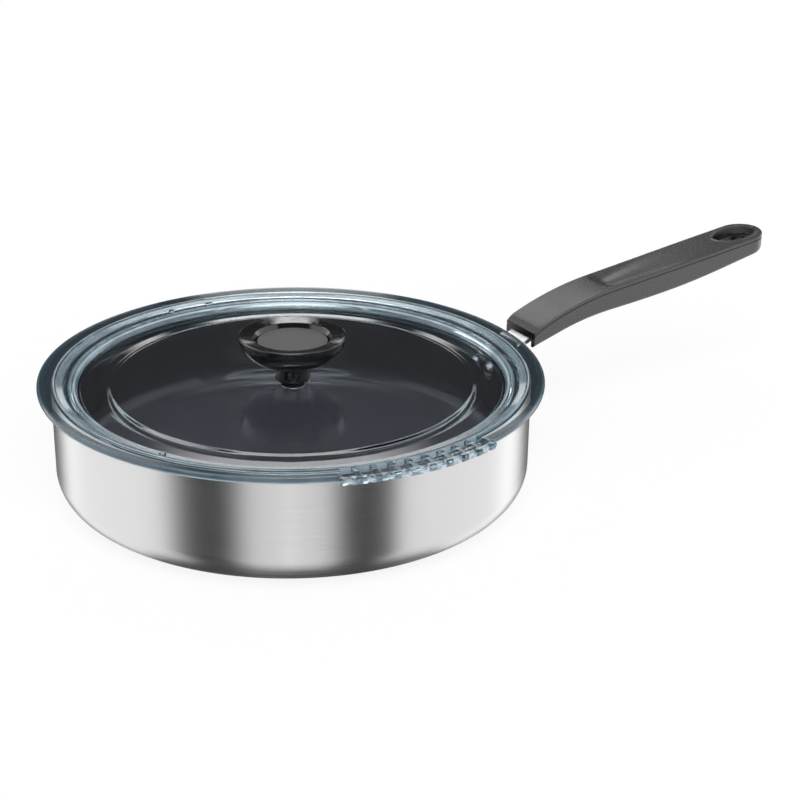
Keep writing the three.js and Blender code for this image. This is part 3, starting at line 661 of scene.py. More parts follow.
def pressed_glass(name):
    """Clear glass, blue-green through its thickness, with a pale glow painted on its rings and edge as
    highlights, and dark painted shade on other rings.
    """
    finish = Finish(name, Transmission_Weight=1.0, IOR=1.5, Roughness=0.0, Base_Color=GLASS_TINT)
    x, y, z = finish.parts(finish.place())
    radius = (x * x + y * y).math("SQRT")
    cloud = finish.noise(finish.place(), 60, 2)
    # Painted highlight and painted shade: opaque pale and dark surfaces mixed into the clear glass on rings
    glow = finish.add("BsdfPrincipled", {"Base Color": GLASS_PAINTED_GLOW, "Roughness": 0.25})
    shade = finish.add("BsdfPrincipled", {"Base Color": GLASS_PAINTED_SHADE, "Roughness": 0.1})

    def ring(inner, outer, soft, level):
        rising = finish.range(radius, (inner - soft) * MM, (inner + soft) * MM)
        falling = finish.range(radius, (outer - soft) * MM, (outer + soft) * MM, 1, 0)
        return rising * falling * level

    share = sum(ring(*line) for line in GLASS_GLOW_RINGS)
    dark = sum(ring(*line) for line in GLASS_SHADE_RINGS)
    towards_comb = x * cos(COMB_DIRECTION) + y * sin(COMB_DIRECTION)
    inside_comb = towards_comb - radius * cos(COMB_SLOTS * COMB_PITCH / 2)
    comb = finish.range(inside_comb, -GLASS_COMB_FADE, GLASS_COMB_FADE, 1, GLASS_COMB_SHARE)
    low = GLASS_HIGH.z - FLANGE_THICKNESS + GLASS_EDGE_GLOW
    upper = finish.range(z, low - GLASS_EDGE_FADE, low + GLASS_EDGE_FADE)
    outside = finish.range(radius, *[FLANGE_RADIUS - inset for inset in GLASS_EDGE_BAND])
    share = share * comb * finish.range(cloud, 0.3, 0.7, 0.8, 1.2) * (1 - outside * upper * GLASS_EDGE_LOSS)
    clear = Value(finish, finish.surface.outputs[0])
    shaded = finish.add("MixShader", {0: dark * comb * upper, 1: clear, 2: shade})
    surface = finish.add("MixShader", {0: share, 1: shaded, 2: glow})
    absorbed = finish.add("VolumeAbsorption", {"Color": GLASS_ABSORBS, "Density": GLASS_DENSITY})
    output = finish.tree.nodes["Material Output"]
    finish.fill(output, {"Surface": surface, "Volume": absorbed})
    return finish.material


PAN_STEEL = brushed_steel("pan_steel")
BASE_STEEL = brushed_steel("base_steel", level=0.55, roughness=0.34, lines=1800, anisotropic=0.7)
BRACKET_STEEL = plain_metal("bracket_steel", (0.60, 0.60, 0.61), roughness=0.28, painted_shade=under_lid_shade)
FASTENER_STEEL = plain_metal("fastener_steel", (0.66, 0.66, 0.67), roughness=0.22)
CORE_ALUMINIUM = plain_metal("core_aluminium", (0.75, 0.76, 0.77), roughness=0.4)
INSERT_BRASS = plain_metal("insert_brass", (0.62, 0.46, 0.20), roughness=0.3)
NONSTICK = nonstick_coat("nonstick")
RIVET_COAT = plain_metal("rivet_metal", (0.75, 0.73, 0.77), roughness=0.1)
HANDLE_PLASTIC = moulded_plastic(
    "handle_plastic", level=0.06, roughness=0.24, grain=0.006 * MM, grain_scale=1500, dark_part=black_eye_and_front_shade
)
KNOB_PLASTIC = moulded_plastic(
    "knob_plastic", level=0.005, roughness=0.05, grain=0.0004 * MM, grain_scale=400, shine=0.8
)
DISC_PLASTIC = moulded_plastic("knob_disc", level=0.085, roughness=0.42, grain=0.03 * MM, grain_scale=1600)
SILICONE = moulded_plastic("silicone", level=0.03, roughness=0.6, grain=0.03 * MM, grain_scale=1200)
LID_GLASS = pressed_glass("lid_glass")

CARRIED_OVER = {
    "base_heat_core": CORE_ALUMINIUM,
    "handle_screw": FASTENER_STEEL,
    "knob_threaded_insert": INSERT_BRASS,
    "upper_seal": SILICONE,
    "lower_seal": SILICONE,
}


def dress_carried_over():
    for node, material in CARRIED_OVER.items():
        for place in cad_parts[node].material_slots:
            place.material = material


# Pan


def pan_wall(low, high, wall, corner, lip):
    """Closed outline of a round pan: outside from the centre to the rim, then inside back to the centre."""
    radius = high.x
    return rounded(
        [
            (0, low.z, 0),
            (radius, low.z, corner),
            (radius, high.z, lip),
            (radius - wall, high.z, lip),
            (radius - wall, low.z + wall, corner - wall),
            (0, low.z + wall, 0),
        ],
        PAN_ROUND_STEPS,
    )


def make_shell():
    mesh = turned(pan_wall(SHELL_LOW, SHELL_HIGH, SHELL_WALL, SHELL_CORNER, SHELL_LIP_ROUND))
    fitted(piece_of(mesh, "pan_shell_brushed", PAN_STEEL), "pan", "pan_steel", "pan_shell")


def make_lining():
    mesh = turned(pan_wall(LINING_LOW, LINING_HIGH, LINING_WALL, LINING_CORNER, LINING_LIP_ROUND))
    fitted(piece_of(mesh, "pan_lining", NONSTICK), "pan", "nonstick", "nonstick_lining")


def make_base_cap():
    """A shallow steel cup with turned grooves in its underside."""
    radius = CAP_HIGH.x
    corners = [(0, CAP_LOW.z, 0)]
    for groove in range(1, BASE_GROOVES + 1):
        at = groove * BASE_GROOVE_PITCH
        corners.append((at - BASE_GROOVE_WIDTH, CAP_LOW.z, 0))
        corners.append((at - BASE_GROOVE_WIDTH / 2, CAP_LOW.z + BASE_GROOVE_DEPTH, 0))
        corners.append((at, CAP_LOW.z, 0))
    corners += [
        (radius, CAP_LOW.z, BASE_EDGE_ROUND),
        (radius, CAP_HIGH.z, 0),
        (radius - BASE_WALL, CAP_HIGH.z, 0),
        (radius - BASE_WALL, CAP_LOW.z + BASE_WALL, 0),
        (0, CAP_LOW.z + BASE_WALL, 0),
    ]
    piece = piece_of(turned(rounded(corners)), "base_cap_turned", BASE_STEEL, sharp=12)
    fitted(piece, "pan", "base_steel", "base_induction_cap")


def make_rivet(node):
    """A domed rivet, its head inside the pan and its tail on the bracket."""
    low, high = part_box(node)
    middle = (low + high) / 2
    length = hypot(*middle.xy) * 2 - 2 * low.x
    head = (high.z - low.z) / 2
    dome = RIVET_HEAD_HEIGHT - RIVET_HEAD_EDGE
    tail = length - RIVET_TAIL_HEIGHT
    ball = (head * head + dome * dome) / (2 * dome)
    reach = asin(head / ball)
    turns = [reach * step / RIVET_DOME_STEPS for step in range(RIVET_DOME_STEPS + 1)]
    profile = [(ball * sin(turn), ball * (1 - cos(turn))) for turn in turns]
    profile += rounded(
        [
            (head, RIVET_HEAD_HEIGHT, RIVET_HEAD_ROUND),
            (RIVET_SHANK_RADIUS, RIVET_HEAD_HEIGHT, 0),
            (RIVET_SHANK_RADIUS, tail, 0),
            (RIVET_TAIL_RADIUS, tail, 0),
            (RIVET_TAIL_RADIUS, length, RIVET_TAIL_ROUND),
            (0, length, 0),
        ]
    )
    mesh = turned(profile, SMALL_STEPS)
    outwards = Matrix.Rotation(pi / 2, 4, "Y")
    side = Matrix.Rotation(atan2(middle.y, middle.x), 4, "Z")
    start = Matrix.Translation((0, 0, hypot(*middle.xy) - length / 2))
    up = Matrix.Translation((0, 0, middle.z))
    bmesh.ops.transform(mesh, matrix=up @ side @ outwards @ start, verts=mesh.verts)
    fitted(piece_of(mesh, node + "_domed", RIVET_COAT), "pan", "rivet_metal", node)


# Handle

HANDLE_FRONT = GRIP_LOW.x
HANDLE_TIP = GRIP_HIGH.x
NECK_END = HANDLE_FRONT + HANDLE_NECK_LENGTH
NECK_CENTRE_X = NECK_END + HANDLE_NECK_RADIUS * sin(HANDLE_SLOPE)


def slope_at(x):
    if x >= NECK_END:
        return HANDLE_SLOPE
    return asin((NECK_CENTRE_X - x) / HANDLE_NECK_RADIUS)


NECK_CENTRE_Z = HANDLE_FRONT_TOP - HANDLE_NECK_RADIUS * cos(slope_at(HANDLE_FRONT))


def top_at(x):
    """Height of the handle's top: an arc near the pan, then a straight slope."""
    if x >= NECK_END:
        return NECK_CENTRE_Z + HANDLE_NECK_RADIUS * cos(HANDLE_SLOPE) + (x - NECK_END) * tan(HANDLE_SLOPE)
    return NECK_CENTRE_Z + HANDLE_NECK_RADIUS * cos(slope_at(x))


def through(stations, place):
    """Smooth value at a place, on a curve through (place, value) stations."""
    if place <= stations[0][0]:
        return stations[0][1]
    if place >= stations[-1][0]:
        return stations[-1][1]
    following = next(i for i, (at, _) in enumerate(stations) if at >= place)

    def lean(i):
        before, after = stations[max(0, i - 1)], stations[min(len(stations) - 1, i + 1)]
        return (after[1] - before[1]) / (after[0] - before[0])

    (start_at, start), (end_at, end) = stations[following - 1], stations[following]
    span = end_at - start_at
    t = (place - start_at) / span
    leave = span * lean(following - 1) * t * (1 - t) ** 2
    arrive = span * lean(following) * t * t * (t - 1)
    return start + (end - start) * t * t * (3 - 2 * t) + leave + arrive


def half_width_at(x):
    past = max(0, x - (HANDLE_TIP - HANDLE_END_LENGTH)) / HANDLE_END_LENGTH
    return through(HANDLE_WIDTHS, (x - HANDLE_FRONT) / MM) / 2 * MM * sqrt(max(0, 1 - past * past))


def depth_at(x):
    return through(HANDLE_DEPTHS, (x - HANDLE_FRONT) / MM) * MM


def eased(value, low, high):
    t = min(1, max(0, (value - low) / (high - low)))
    return t * t * (3 - 2 * t)


def dish_at(x, y):
    """Depth of the thumb dish, which drops at its front and runs out slowly towards the eye."""
    along = x - HANDLE_FRONT
    drop = eased(along, DISH_START, DISH_START + DISH_FRONT_RUN)
    left = min(1, max(0, (DISH_END - along) / (DISH_END - DISH_START)))
    across = abs(y) / max(MM, half_width_at(x) - DISH_EDGE)
    return DISH_DEPTH * drop * left * left * max(0, 1 - across * across) ** DISH_FULLNESS


def front_roll(x):
    """How far the top rolls down at the handle's front."""
    inside = 1 - min(1, (x - HANDLE_FRONT) / HANDLE_FRONT_ROLL_LENGTH)
    return HANDLE_FRONT_ROLL * inside * inside


def grip_section(x):
    """Points round the handle at one place, from one top edge across to the other and back underneath."""
    half = half_width_at(x)
    top = top_at(x) - front_roll(x)
    bottom = top_at(x) - depth_at(x)
    edge = min(HANDLE_EDGE_ROUND, half / 3)
    under = min(HANDLE_UNDER_ROUND, half / 2)
    inset = min(HANDLE_GROOVE_DEPTH, half / 6)
    groove = top - HANDLE_GROOVE_DROP
    flat = half - edge
    across = [flat - 2 * flat * step / HANDLE_TOP_STEPS for step in range(HANDLE_TOP_STEPS + 1)]
    points = [(y, top - dish_at(x, y)) for y in across]
    edge_arc = [(edge * sin(radians(turn)), edge * (1 - cos(radians(turn)))) for turn in HANDLE_EDGE_TURNS]
    left = [(-flat - out, top - down) for out, down in edge_arc]
    left += [
        (-half, groove),
        (-half + inset, groove - HANDLE_GROOVE_WIDTH / 4),
        (-half + inset, groove - 3 * HANDLE_GROOVE_WIDTH / 4),
        (-half, groove - HANDLE_GROOVE_WIDTH),
    ]
    for turn in HANDLE_UNDER_TURNS:
        out = under * (1 - cos(radians(turn)))
        left.append((-half + out, bottom + under * (1 - sin(radians(turn)))))
    floor_half = half - under
    inner = range(1, HANDLE_FLOOR_STEPS)
    below = [(-floor_half + 2 * floor_half * step / HANDLE_FLOOR_STEPS, bottom) for step in inner]
    right = [(-y, z) for y, z in reversed(left)]
    return [Vector((x, y, z)) for y, z in points + left + below + right]


def under_top(x, drop):
    """Place square to the handle's top and below it."""
    slope = slope_at(x)
    return x + drop * sin(slope), top_at(x) - drop * cos(slope)


def pocket_section(x, half, roof, corner):
    """Points round a pocket in the handle at one place, open below."""
    outline = rounded(
        [
            (-half, -POCKET_OPENING, 0),
            (half, -POCKET_OPENING, 0),
            (half, -roof, corner),
            (-half, -roof, corner),
        ]
    )
    points = []
    for y, rise in outline:
        under_x, under_z = under_top(x, -rise)
        points.append(Vector((under_x, y, under_z)))
    return points


def on_handle(mesh, x):
    """Stands a mesh, made round the origin, on the handle's sloping top."""
    place = Matrix.Translation((x, 0, top_at(x))) @ Matrix.Rotation(-slope_at(x), 4, "Y")
    bmesh.ops.transform(mesh, matrix=place, verts=mesh.verts)
    return mesh


def eye_form(stations):
    """A bmesh through ellipses of the hanging eye, standing on the handle's top."""
    rings = []
    for (half_length, half_width), growth, height in stations:
        rings.append(ellipse_ring(half_length + growth, half_width + growth, height))
    return on_handle(swept(rings), EYE_X)


def make_grip():
    """The handle: sections swept from front to tip, with its eye's collar and bore and the arm's pocket."""
    end_start = HANDLE_TIP - HANDLE_END_LENGTH
    run = end_start - HANDLE_FRONT
    stations = [HANDLE_FRONT + run * step / HANDLE_LONG_STEPS for step in range(HANDLE_LONG_STEPS)]
    stations += [end_start + HANDLE_END_LENGTH * sin(radians(turn)) for turn in HANDLE_TIP_TURNS]
    piece = piece_of(swept([grip_section(x) for x in stations]), "handle_grip_moulded", HANDLE_PLASTIC)
    carved(piece, eye_form(EYE_COLLAR), "UNION")
    carved(piece, eye_form(EYE_BORE), "DIFFERENCE")
    half, roof, corner, length = ARM_POCKET
    start = HANDLE_FRONT - POCKET_LEAD
    run = HANDLE_FRONT + length - start
    places = [start + run * step / POCKET_STEPS for step in range(POCKET_STEPS + 1)]
    carved(piece, swept([pocket_section(x, half, roof, corner) for x in places]), "DIFFERENCE")
    piece.data.set_sharp_from_angle(angle=HANDLE_SHARP)
    fitted(piece, "pan", "handle_plastic", "handle_grip")


def make_bracket():
    piece = softened("handle_bracket", "handle_bracket_bent", BRACKET_STEEL, BRACKET_EDGE_ROUND)
    fitted(piece, "pan", "bracket_steel", "handle_bracket")


# Lid

FLANGE_TOP = GLASS_HIGH.z
FLANGE_BOTTOM = FLANGE_TOP - FLANGE_THICKNESS
PANEL_TOP = GLASS_LOW.z + PANEL_THICKNESS
STEP_RADIUS = FLANGE_RADIUS - FLANGE_WIDTH
TOOTH_RADIUS = -GLASS_LOW.y


def lid_outline():
    """Closed outline of the lid: out under the panel to the edge, then back over the rings to the hole."""
    top = FLANGE_TOP
    ring_foot = PANEL_TOP - PANEL_RING_RISE
    ring_outer = PANEL_RING_RADIUS + PANEL_RING_WIDTH / 2
    moat = ring_foot - (MOAT_RADIUS - ring_outer) * tan(MOAT_SLOPE)
    flat = FLANGE_RADIUS - FLANGE_EDGE_ROUND
    flange = [STEP_RADIUS + (flat - STEP_RADIUS) * i / FLANGE_STEPS for i in range(FLANGE_STEPS + 1)]
    corners = [
        (LID_HOLE_RADIUS, GLASS_LOW.z, 0),
        (UNDER_PANEL_RADIUS, GLASS_LOW.z, UNDER_PANEL_ROUND),
        (UNDER_RIM_RADIUS, FLANGE_BOTTOM - UNDER_RIM_DROP, UNDER_RIM_ROUND),
        (STEP_RADIUS - UNDER_STEP_WIDTH, FLANGE_BOTTOM, UNDER_STEP_ROUND),
    ]
    corners += [(radius, FLANGE_BOTTOM, 0) for radius in flange]
    middle = (top + FLANGE_BOTTOM) / 2
    for turn in FLANGE_EDGE_TURNS:
        angle = radians(turn)
        corners.append((flat + FLANGE_EDGE_ROUND * cos(angle), middle + (top - middle) * sin(angle), 0))
    corners += [(radius, top, 0) for radius in reversed(flange)]
    corners += [(radius * MM, top - drop * MM, edge * MM) for radius, drop, edge in LID_TERRACES]
    corners += [
        (WELL_RADIUS, moat + (WELL_RADIUS - MOAT_RADIUS) * tan(WELL_SLOPE), WELL_ROUND),
        (MOAT_RADIUS, moat, MOAT_BEND),
    ]
    for step in range(PANEL_RING_STEPS + 1):
        along = step / PANEL_RING_STEPS
        radius = PANEL_RING_RADIUS + PANEL_RING_WIDTH * (0.5 - along)
        corners.append((radius, ring_foot + PANEL_RING_RISE * eased(along, 0, 1), 0))
    corners.append((LID_HOLE_RADIUS, PANEL_TOP, 0))
    return rounded(corners)


def angle_from(direction, point):
    """Signed angle of a point round the Z axis from a direction."""
    away = atan2(point.y, point.x) - direction
    return (away + pi) % tau - pi


def pushed(verts, distance):
    """Moves points outwards from the Z axis."""
    for vert in verts:
        vert.co.xy += vert.co.xy.normalized() * distance


def extrude_faces(mesh, faces):
    """Extrudes a patch of faces and returns the points of the moved patch."""
    made = bmesh.ops.extrude_face_region(mesh, geom=faces)["geom"]
    bmesh.ops.delete(mesh, geom=faces, context="FACES_ONLY")
    return [item for item in made if isinstance(item, bmesh.types.BMVert)]


def faces_in(mesh, direction, half_angle, inner, outer, low, high):
    """Faces whose middles lie in a sector, between two radii and two heights."""
    found = []
    for face in mesh.faces:
        middle = face.calc_center_median()
        inside = inner < hypot(middle.x, middle.y) < outer and low < middle.z < high
        if inside and abs(angle_from(direction, middle)) < half_angle:
            found.append(face)
    return found


def press_comb(mesh):
    """Draws the flange out to a row of teeth, and opens a slot behind each."""
    half = COMB_SLOTS * COMB_PITCH / 2
    flat = FLANGE_RADIUS - FLANGE_EDGE_ROUND
    slot_outer = FLANGE_RADIUS - COMB_SLOT_END
    margin = NEAR / 2
    edge = faces_in(mesh, COMB_DIRECTION, half, flat + margin, FAR, 0, FAR)
    pushed(extrude_faces(mesh, edge), slot_outer - flat)
    edge = faces_in(mesh, COMB_DIRECTION, half, slot_outer + margin, FAR, 0, FAR)
    teeth = extrude_faces(mesh, edge)
    pushed(teeth, TOOTH_RADIUS - slot_outer - FLANGE_EDGE_ROUND)
    for vert in teeth:
        along = angle_from(COMB_DIRECTION, vert.co) / COMB_PITCH + COMB_SLOTS / 2
        notch = (0.5 - 0.5 * cos(tau * along)) ** COMB_NOTCH_SHARPNESS
        vert.co.xy -= vert.co.xy.normalized() * COMB_NOTCH * notch
        if vert.co.z < FLANGE_TOP - FLANGE_THICKNESS / 3:
            vert.co.z -= COMB_HANG
    for slot in range(COMB_SLOTS):
        direction = COMB_DIRECTION + COMB_PITCH * (slot - (COMB_SLOTS - 1) / 2)
        open_half = COMB_PITCH / COMB_STEPS * COMB_SLOT_STEPS / 2
        inner = STEP_RADIUS + margin
        outer = slot_outer - margin
        above = faces_in(mesh, direction, open_half, inner, outer, FLANGE_TOP - NEAR, FAR)
        below = faces_in(mesh, direction, open_half, inner, outer, 0, FLANGE_BOTTOM + NEAR)
        rims = []
        for patch in (above, below):
            inside = set(patch)
            edges = {edge for face in patch for edge in face.edges}
            rims += [edge for edge in edges if not all(face in inside for face in edge.link_faces)]
            bmesh.ops.delete(mesh, geom=patch, context="FACES")
        bmesh.ops.bridge_loops(mesh, edges=[edge for edge in rims if edge.is_valid])


def press_spout(mesh):
    """A shallow trough under the flange, opposite the comb."""
    for vert in mesh.verts:
        across = FLANGE_RADIUS * sin(angle_from(SPOUT_DIRECTION, vert.co))
        facing = abs(angle_from(SPOUT_DIRECTION, vert.co)) < pi / 2
        radius = hypot(vert.co.x, vert.co.y)
        above = vert.co.z - FLANGE_BOTTOM
        if facing and radius > STEP_RADIUS - NEAR and -WELD < above:
            share = 1 - eased(abs(across), SPOUT_WIDTH / 2 - SPOUT_END, SPOUT_WIDTH / 2 + SPOUT_END)
            vert.co.z += SPOUT_DEPTH * share * max(0, 1 - above / FLANGE_THICKNESS)


def press_lugs(mesh):
    """Small lugs across the groove inside the rim, two by the sides and one at each end of the spout."""
    for direction in LUG_DIRECTIONS:
        patch = faces_in(mesh, direction, LUG_HALF, *LUG_RADII, FLANGE_TOP - LUG_DROP, FLANGE_TOP)
        for vert in extrude_faces(mesh, patch):
            vert.co.z += LUG_RISE


def make_glass():
    """The pressed lid: one spin over the comb's sector in fine steps, one over the rest."""
    mesh = bmesh.new()
    half = COMB_SLOTS * COMB_PITCH / 2
    comb_steps = COMB_SLOTS * COMB_STEPS
    for start, angle, steps in (
        (COMB_DIRECTION - half, 2 * half, comb_steps),
        (COMB_DIRECTION + half, tau - 2 * half, LID_STEPS),
    ):
        turn = Matrix.Rotation(start, 3, "Z")
        points = [mesh.verts.new(turn @ Vector((radius, 0, height))) for radius, height in lid_outline()]
        edges = [mesh.edges.new(pair) for pair in zip(points, points[1:] + points[:1])]
        bmesh.ops.spin(mesh, geom=points + edges, axis=(0, 0, 1), cent=(0, 0, 0), angle=angle, steps=steps)
    bmesh.ops.remove_doubles(mesh, verts=mesh.verts, dist=WELD)
    bmesh.ops.recalc_face_normals(mesh, faces=mesh.faces)
    press_spout(mesh)
    press_lugs(mesh)
    press_comb(mesh)
    piece = piece_of(mesh, "lid_glass_pressed", LID_GLASS, sharp=40)
    bevel = piece.modifiers.new("soft_edges", "BEVEL")
    bevel.width = GLASS_EDGE_BEVEL
    bevel.segments = 2
    bevel.limit_method = "ANGLE"
    bevel.angle_limit = GLASS_EDGE_ANGLE
    fitted(piece, "lid", "lid_glass", "lid_glass")


def make_knob():
    """A bowl on a straight stem, hollow below for the seal and the threaded insert."""
    foot = KNOB_LOW.z
    top = KNOB_HIGH.z
    rim = KNOB_HIGH.x
    recess = rim - KNOB_RING_WIDTH
    floor = top - KNOB_RECESS_DEPTH
    insert = INSERT_HIGH.x + KNOB_CLEARANCE
    insert_top = INSERT_HIGH.z + KNOB_CLEARANCE
    seal = SEAL_HIGH.x + KNOB_CLEARANCE
    seal_top = SEAL_HIGH.z + KNOB_CLEARANCE
    corners = [
        (0, insert_top, 0),
        (insert, insert_top, 0),
        (insert, seal_top, 0),
        (seal, seal_top, 0),
        (seal, foot, 0),
        (KNOB_STEM_RADIUS - KNOB_FOOT_INSET, foot, KNOB_FOOT_ROUND),
        (KNOB_STEM_RADIUS, foot + KNOB_FOOT_HEIGHT, KNOB_FOOT_BEND),
        (KNOB_STEM_RADIUS + KNOB_STEM_FLARE, foot + KNOB_STEM_HEIGHT, KNOB_STEM_ROUND),
    ]
    bowl_run = rim - KNOB_BOWL_RADIUS
    bowl_rise = top - foot - KNOB_BOWL_HEIGHT
    for turn in KNOB_BOWL_TURNS:
        angle = radians(turn)
        corners.append((KNOB_BOWL_RADIUS + bowl_run * cos(angle), top + bowl_rise * sin(angle), 0))
    corners += [
        (rim, top - KNOB_RIM_HEIGHT, 0),
        (rim - KNOB_RIM_DRAFT, top, KNOB_RIM_ROUND),
        (recess, top - KNOB_RING_FALL, KNOB_RECESS_ROUND),
        (recess - KNOB_RECESS_DRAFT, floor, KNOB_FLOOR_ROUND),
        (0, floor, 0),
    ]
    piece = piece_of(turned(rounded(corners), KNOB_STEPS), "lid_knob_turned", KNOB_PLASTIC)
    fitted(piece, "lid", "knob_plastic", "lid_knob")


def make_fastener(node):
    """The screw or washer under the lid, with its edges rounded."""
    piece = softened(node, node + "_rounded", FASTENER_STEEL, FASTENER_EDGE_ROUND)
    fitted(piece, "lid_fastener", "fastener_steel", node)


def make_disc():
    radius = DISC_HIGH.x
    profile = rounded(
        [
            (0, DISC_LOW.z, 0),
            (radius, DISC_LOW.z, 0),
            (radius, DISC_HIGH.z, DISC_EDGE_ROUND),
            (0, DISC_HIGH.z, 0),
        ]
    )
    piece = piece_of(turned(profile, KNOB_STEPS), "knob_disc_satin", DISC_PLASTIC)
    fitted(piece, "lid", "knob_disc", "knob_disc")


# Studio

# Bright panels of the studio as metal and glass see it: name, azimuths, elevations, level, softness.
# Azimuth 0 is towards the camera, 90 to its right, in degrees. From -190 to 190 is all the way round.
PANELS = (
    ("front_window", (-26, 20), (-55, 22), 1.12, 8),
    ("front_lamp", (-8, 3), (-55, 22), 1.65, 8),
    ("front_high", (-75, 75), (44, 50), 1.6, 8),
    ("left_softbox", (-139, -59), (-55, 42), 1.25, 8),
    ("left_wing", (-136, -122), (-55, 20), 1.8, 4),
    ("right_softbox", (49, 140), (-55, 42), 1.2, 1.5),
    ("right_wing", (112, 136), (-55, 20), 1.8, 8),
    ("overhead_softbox", (-190, 190), (79, 99), 9.0, 4),
    ("overhead_haze", (-190, 190), (62, 80), 1.4, 4),
)
# Panels behind the pan, with azimuths from straight behind, positive to the camera's right
BACK_PANELS = (
    ("back_strip", (-3.5, 3.5), (13.5, 19.2), 2.4, 0.6),
    ("back_strip_left", (-9.5, -5.8), (13.5, 18.2), 2.4, 0.6),
    ("back_strip_right", (5.8, 9.5), (13.5, 18.2), 2.4, 0.6),
    ("back_softbox", (-6.5, 6.5), (36, 47), 4.6, 1),
    ("back_left_softbox", (-36, -8.5), (33, 43), 3.2, 1),
)
# Level between the panels
STUDIO_DARK = 0.06
# Where the floor is seen, a part of its grey is lit and the rest is its own
FLOOR_LIT = 0.22
FLOOR_GLOW = 0.82
FLOOR_HALF = 4
FLOOR_DROP = 0.05 * MM
CARD_RADIUS = 0.45
CARD_DROP = 0.03 * MM
CARD_DARK = (0.033, 0.048, 0.061, 1)
CARD_PALE = (0.04, 0.056, 0.07, 1)
# Even light on matt surfaces
AMBIENT = 0.45
# What glass shows of the studio's lower part, up to an elevation where it fades into the dark, in degrees
GLASS_AMBIENT = 0.4
GLASS_AMBIENT_FADE = (8, 16)
# Softness of the panels' upper and lower edges, in degrees
PANEL_EDGE = 3
BACK_PANEL_EDGE = 0.8
SUN_STRENGTH = 2.2
SUN_ANGLE = radians(60)
SUN_FROM = Vector((-0.35, -0.75, 0.55))


def make_floor():
    """White paper. Seen directly or through glass, most of its white is its own and a part is lit."""
    mesh = bmesh.new()
    bmesh.ops.create_grid(mesh, x_segments=1, y_segments=1, size=FLOOR_HALF)
    finish = Finish("floor_paper", Roughness=0.9, Specular_IOR_Level=0.0)
    rays = finish.add("LightPath").socket.node.outputs
    refracted = Value(finish, rays["Is Transmission Ray"])
    seen = Value(finish, rays["Is Camera Ray"]).math("MAXIMUM", refracted)
    fibre = finish.noise(finish.place(), 400, 3)
    paper = finish.mixed(grey(0.92), grey(0.95), fibre)
    lit = finish.mixed(paper, grey(FLOOR_LIT), seen)
    glow = finish.mixed(grey(0), grey(FLOOR_GLOW), seen)
    finish.set(Base_Color=lit, Emission_Color=glow, Emission_Strength=1.0)
    floor = piece_of(mesh, "studio_floor", finish.material)
    floor.location.z = cad_box[0].z - FLOOR_DROP
    floor.visible_glossy = False


def make_card():
    """A dark card on the floor round the pan that only shows through the glass, to draw its rim."""
    mesh = bmesh.new()
    bmesh.ops.create_circle(mesh, cap_ends=True, segments=96, radius=CARD_RADIUS)
    finish = Finish("dark_card", Roughness=0.9, Specular_IOR_Level=0.0)
    cloud = finish.noise(finish.place(), 30, 2)
    finish.set(Base_Color=finish.mixed(CARD_DARK, CARD_PALE, cloud))
    card = piece_of(mesh, "studio_card", finish.material)
    card.location.z = cad_box[0].z - CARD_DROP
    for ray in ("camera", "diffuse", "glossy", "shadow"):
        setattr(card, "visible_" + ray, False)


def window(shader, value, edges, soft):
    """1 between two edges, falling off softly at each."""
    low, high = edges
    rising = shader.range(value, low - soft, low + soft)
    falling = shader.range(value, high - soft, high + soft, 1, 0)
    return rising * falling


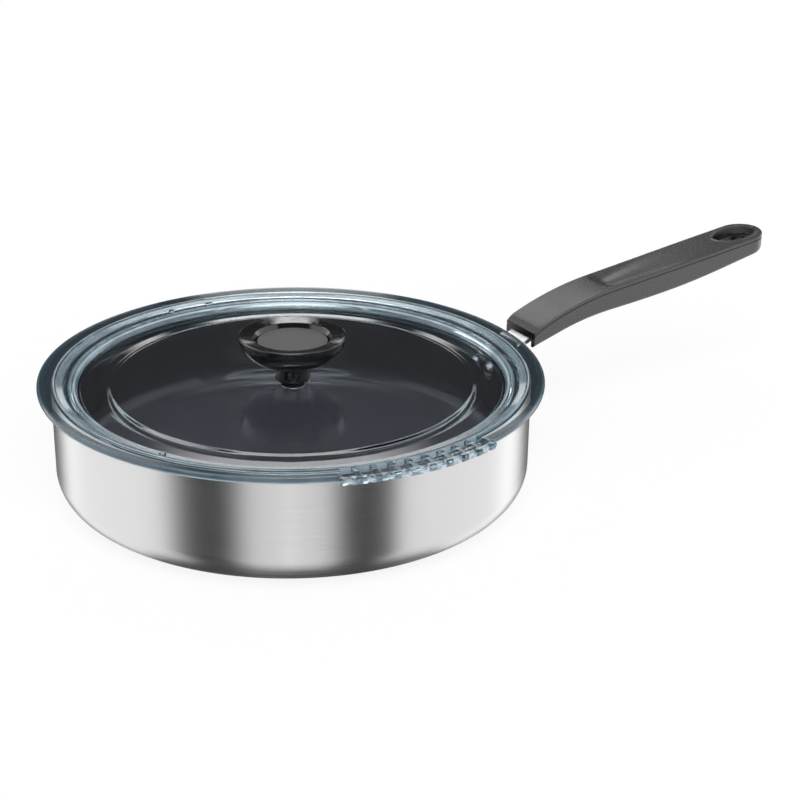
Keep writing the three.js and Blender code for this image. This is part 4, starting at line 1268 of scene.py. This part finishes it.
def make_world():
    """White for the camera, even light for matt surfaces, and a studio of panels for metal and glass."""
    world = bpy.data.worlds.new("studio")
    bpy.context.scene.world = world
    world.use_nodes = True
    shader = Shader(world.node_tree)
    facing = shader.add("TexCoord", output="Generated")
    turn = {"Vector": facing, "Rotation": (0, 0, -VIEW_AZIMUTH)}
    x, y, z = shader.parts(shader.add("Mapping", turn, vector_type="POINT"))
    in_degrees = 180 / pi
    azimuth = x.math("ARCTAN2", 0 - y) * in_degrees
    elevation = z.math("ARCSINE") * in_degrees
    from_behind = x.math("ARCTAN2", y) * in_degrees
    level = STUDIO_DARK
    walls = ((PANELS, azimuth, PANEL_EDGE), (BACK_PANELS, from_behind, BACK_PANEL_EDGE))
    for panels, turn_to, edge in walls:
        for _, azimuths, elevations, brightness, soft in panels:
            panel = window(shader, turn_to, azimuths, soft) * window(shader, elevation, elevations, edge)
            level = (panel * brightness).math("MAXIMUM", level)
    rays = shader.add("LightPath").socket.node.outputs
    camera = Value(shader, rays["Is Camera Ray"])
    refracted = Value(shader, rays["Is Transmission Ray"])
    mirrored = Value(shader, rays["Is Glossy Ray"]) * (1 - refracted)
    low = shader.range(elevation, *GLASS_AMBIENT_FADE, GLASS_AMBIENT, STUDIO_DARK)
    in_glass = level.math("MAXIMUM", low)
    unseen = mirrored * level + refracted * in_glass + (1 - mirrored - refracted) * AMBIENT
    background = world.node_tree.nodes["Background"]
    shader.fill(background, {"Strength": camera + (1 - camera) * unseen})
    background.inputs["Color"].default_value = (1, 1, 1, 1)


def make_sun():
    """A wide soft light from above the camera."""
    light = bpy.data.lights.new("soft_sun", "SUN")
    light.energy = SUN_STRENGTH
    light.angle = SUN_ANGLE
    lamp = bpy.data.objects.new("soft_sun", light)
    bpy.context.scene.collection.objects.link(lamp)
    lamp.rotation_euler = (-SUN_FROM).to_track_quat("-Z", "Y").to_euler()
    lamp.visible_glossy = False


def make_camera():
    """A camera that stands as the photograph's did: its target falls on a set pixel, with a slight roll."""
    back = Vector((0, -cos(VIEW_ELEVATION), sin(VIEW_ELEVATION)))
    right = Vector((1, 0, 0))
    forward = -back
    axes = Matrix((right, right.cross(forward), forward))
    roll = Matrix.Rotation(VIEW_ROLL, 3, "Z")
    middle = IMAGE_SIZE / 2
    aim = Vector(((TARGET_PIXEL[0] - middle) / FOCAL_PIXELS, (middle - TARGET_PIXEL[1]) / FOCAL_PIXELS, 1))
    tilt = Vector((0, 0, 1)).rotation_difference(aim).to_matrix()
    seen = tilt @ roll @ axes
    turn = Matrix.Rotation(VIEW_AZIMUTH, 3, "Z")
    facing = turn @ Matrix((seen[0], seen[1], -seen[2])).transposed()
    data = bpy.data.cameras.new("photo_camera")
    data.sensor_width = SENSOR_WIDTH
    data.lens = FOCAL_PIXELS / IMAGE_SIZE * SENSOR_WIDTH
    data.clip_start = CAMERA_NEAR
    camera = bpy.data.objects.new("photo_camera", data)
    bpy.context.scene.collection.objects.link(camera)
    place = VIEW_TARGET + turn @ back * VIEW_DISTANCE
    camera.matrix_world = Matrix.Translation(place) @ facing.to_4x4()
    bpy.context.scene.camera = camera


make_camera()
make_shell()
make_lining()
make_base_cap()
make_rivet("rivet_left")
make_rivet("rivet_right")
make_bracket()
make_grip()
make_glass()
make_knob()
make_disc()
make_fastener("knob_washer")
make_fastener("knob_screw")
dress_carried_over()
make_floor()
make_card()
make_world()
make_sun()
bpy.context.scene.view_settings.view_transform = "Standard"
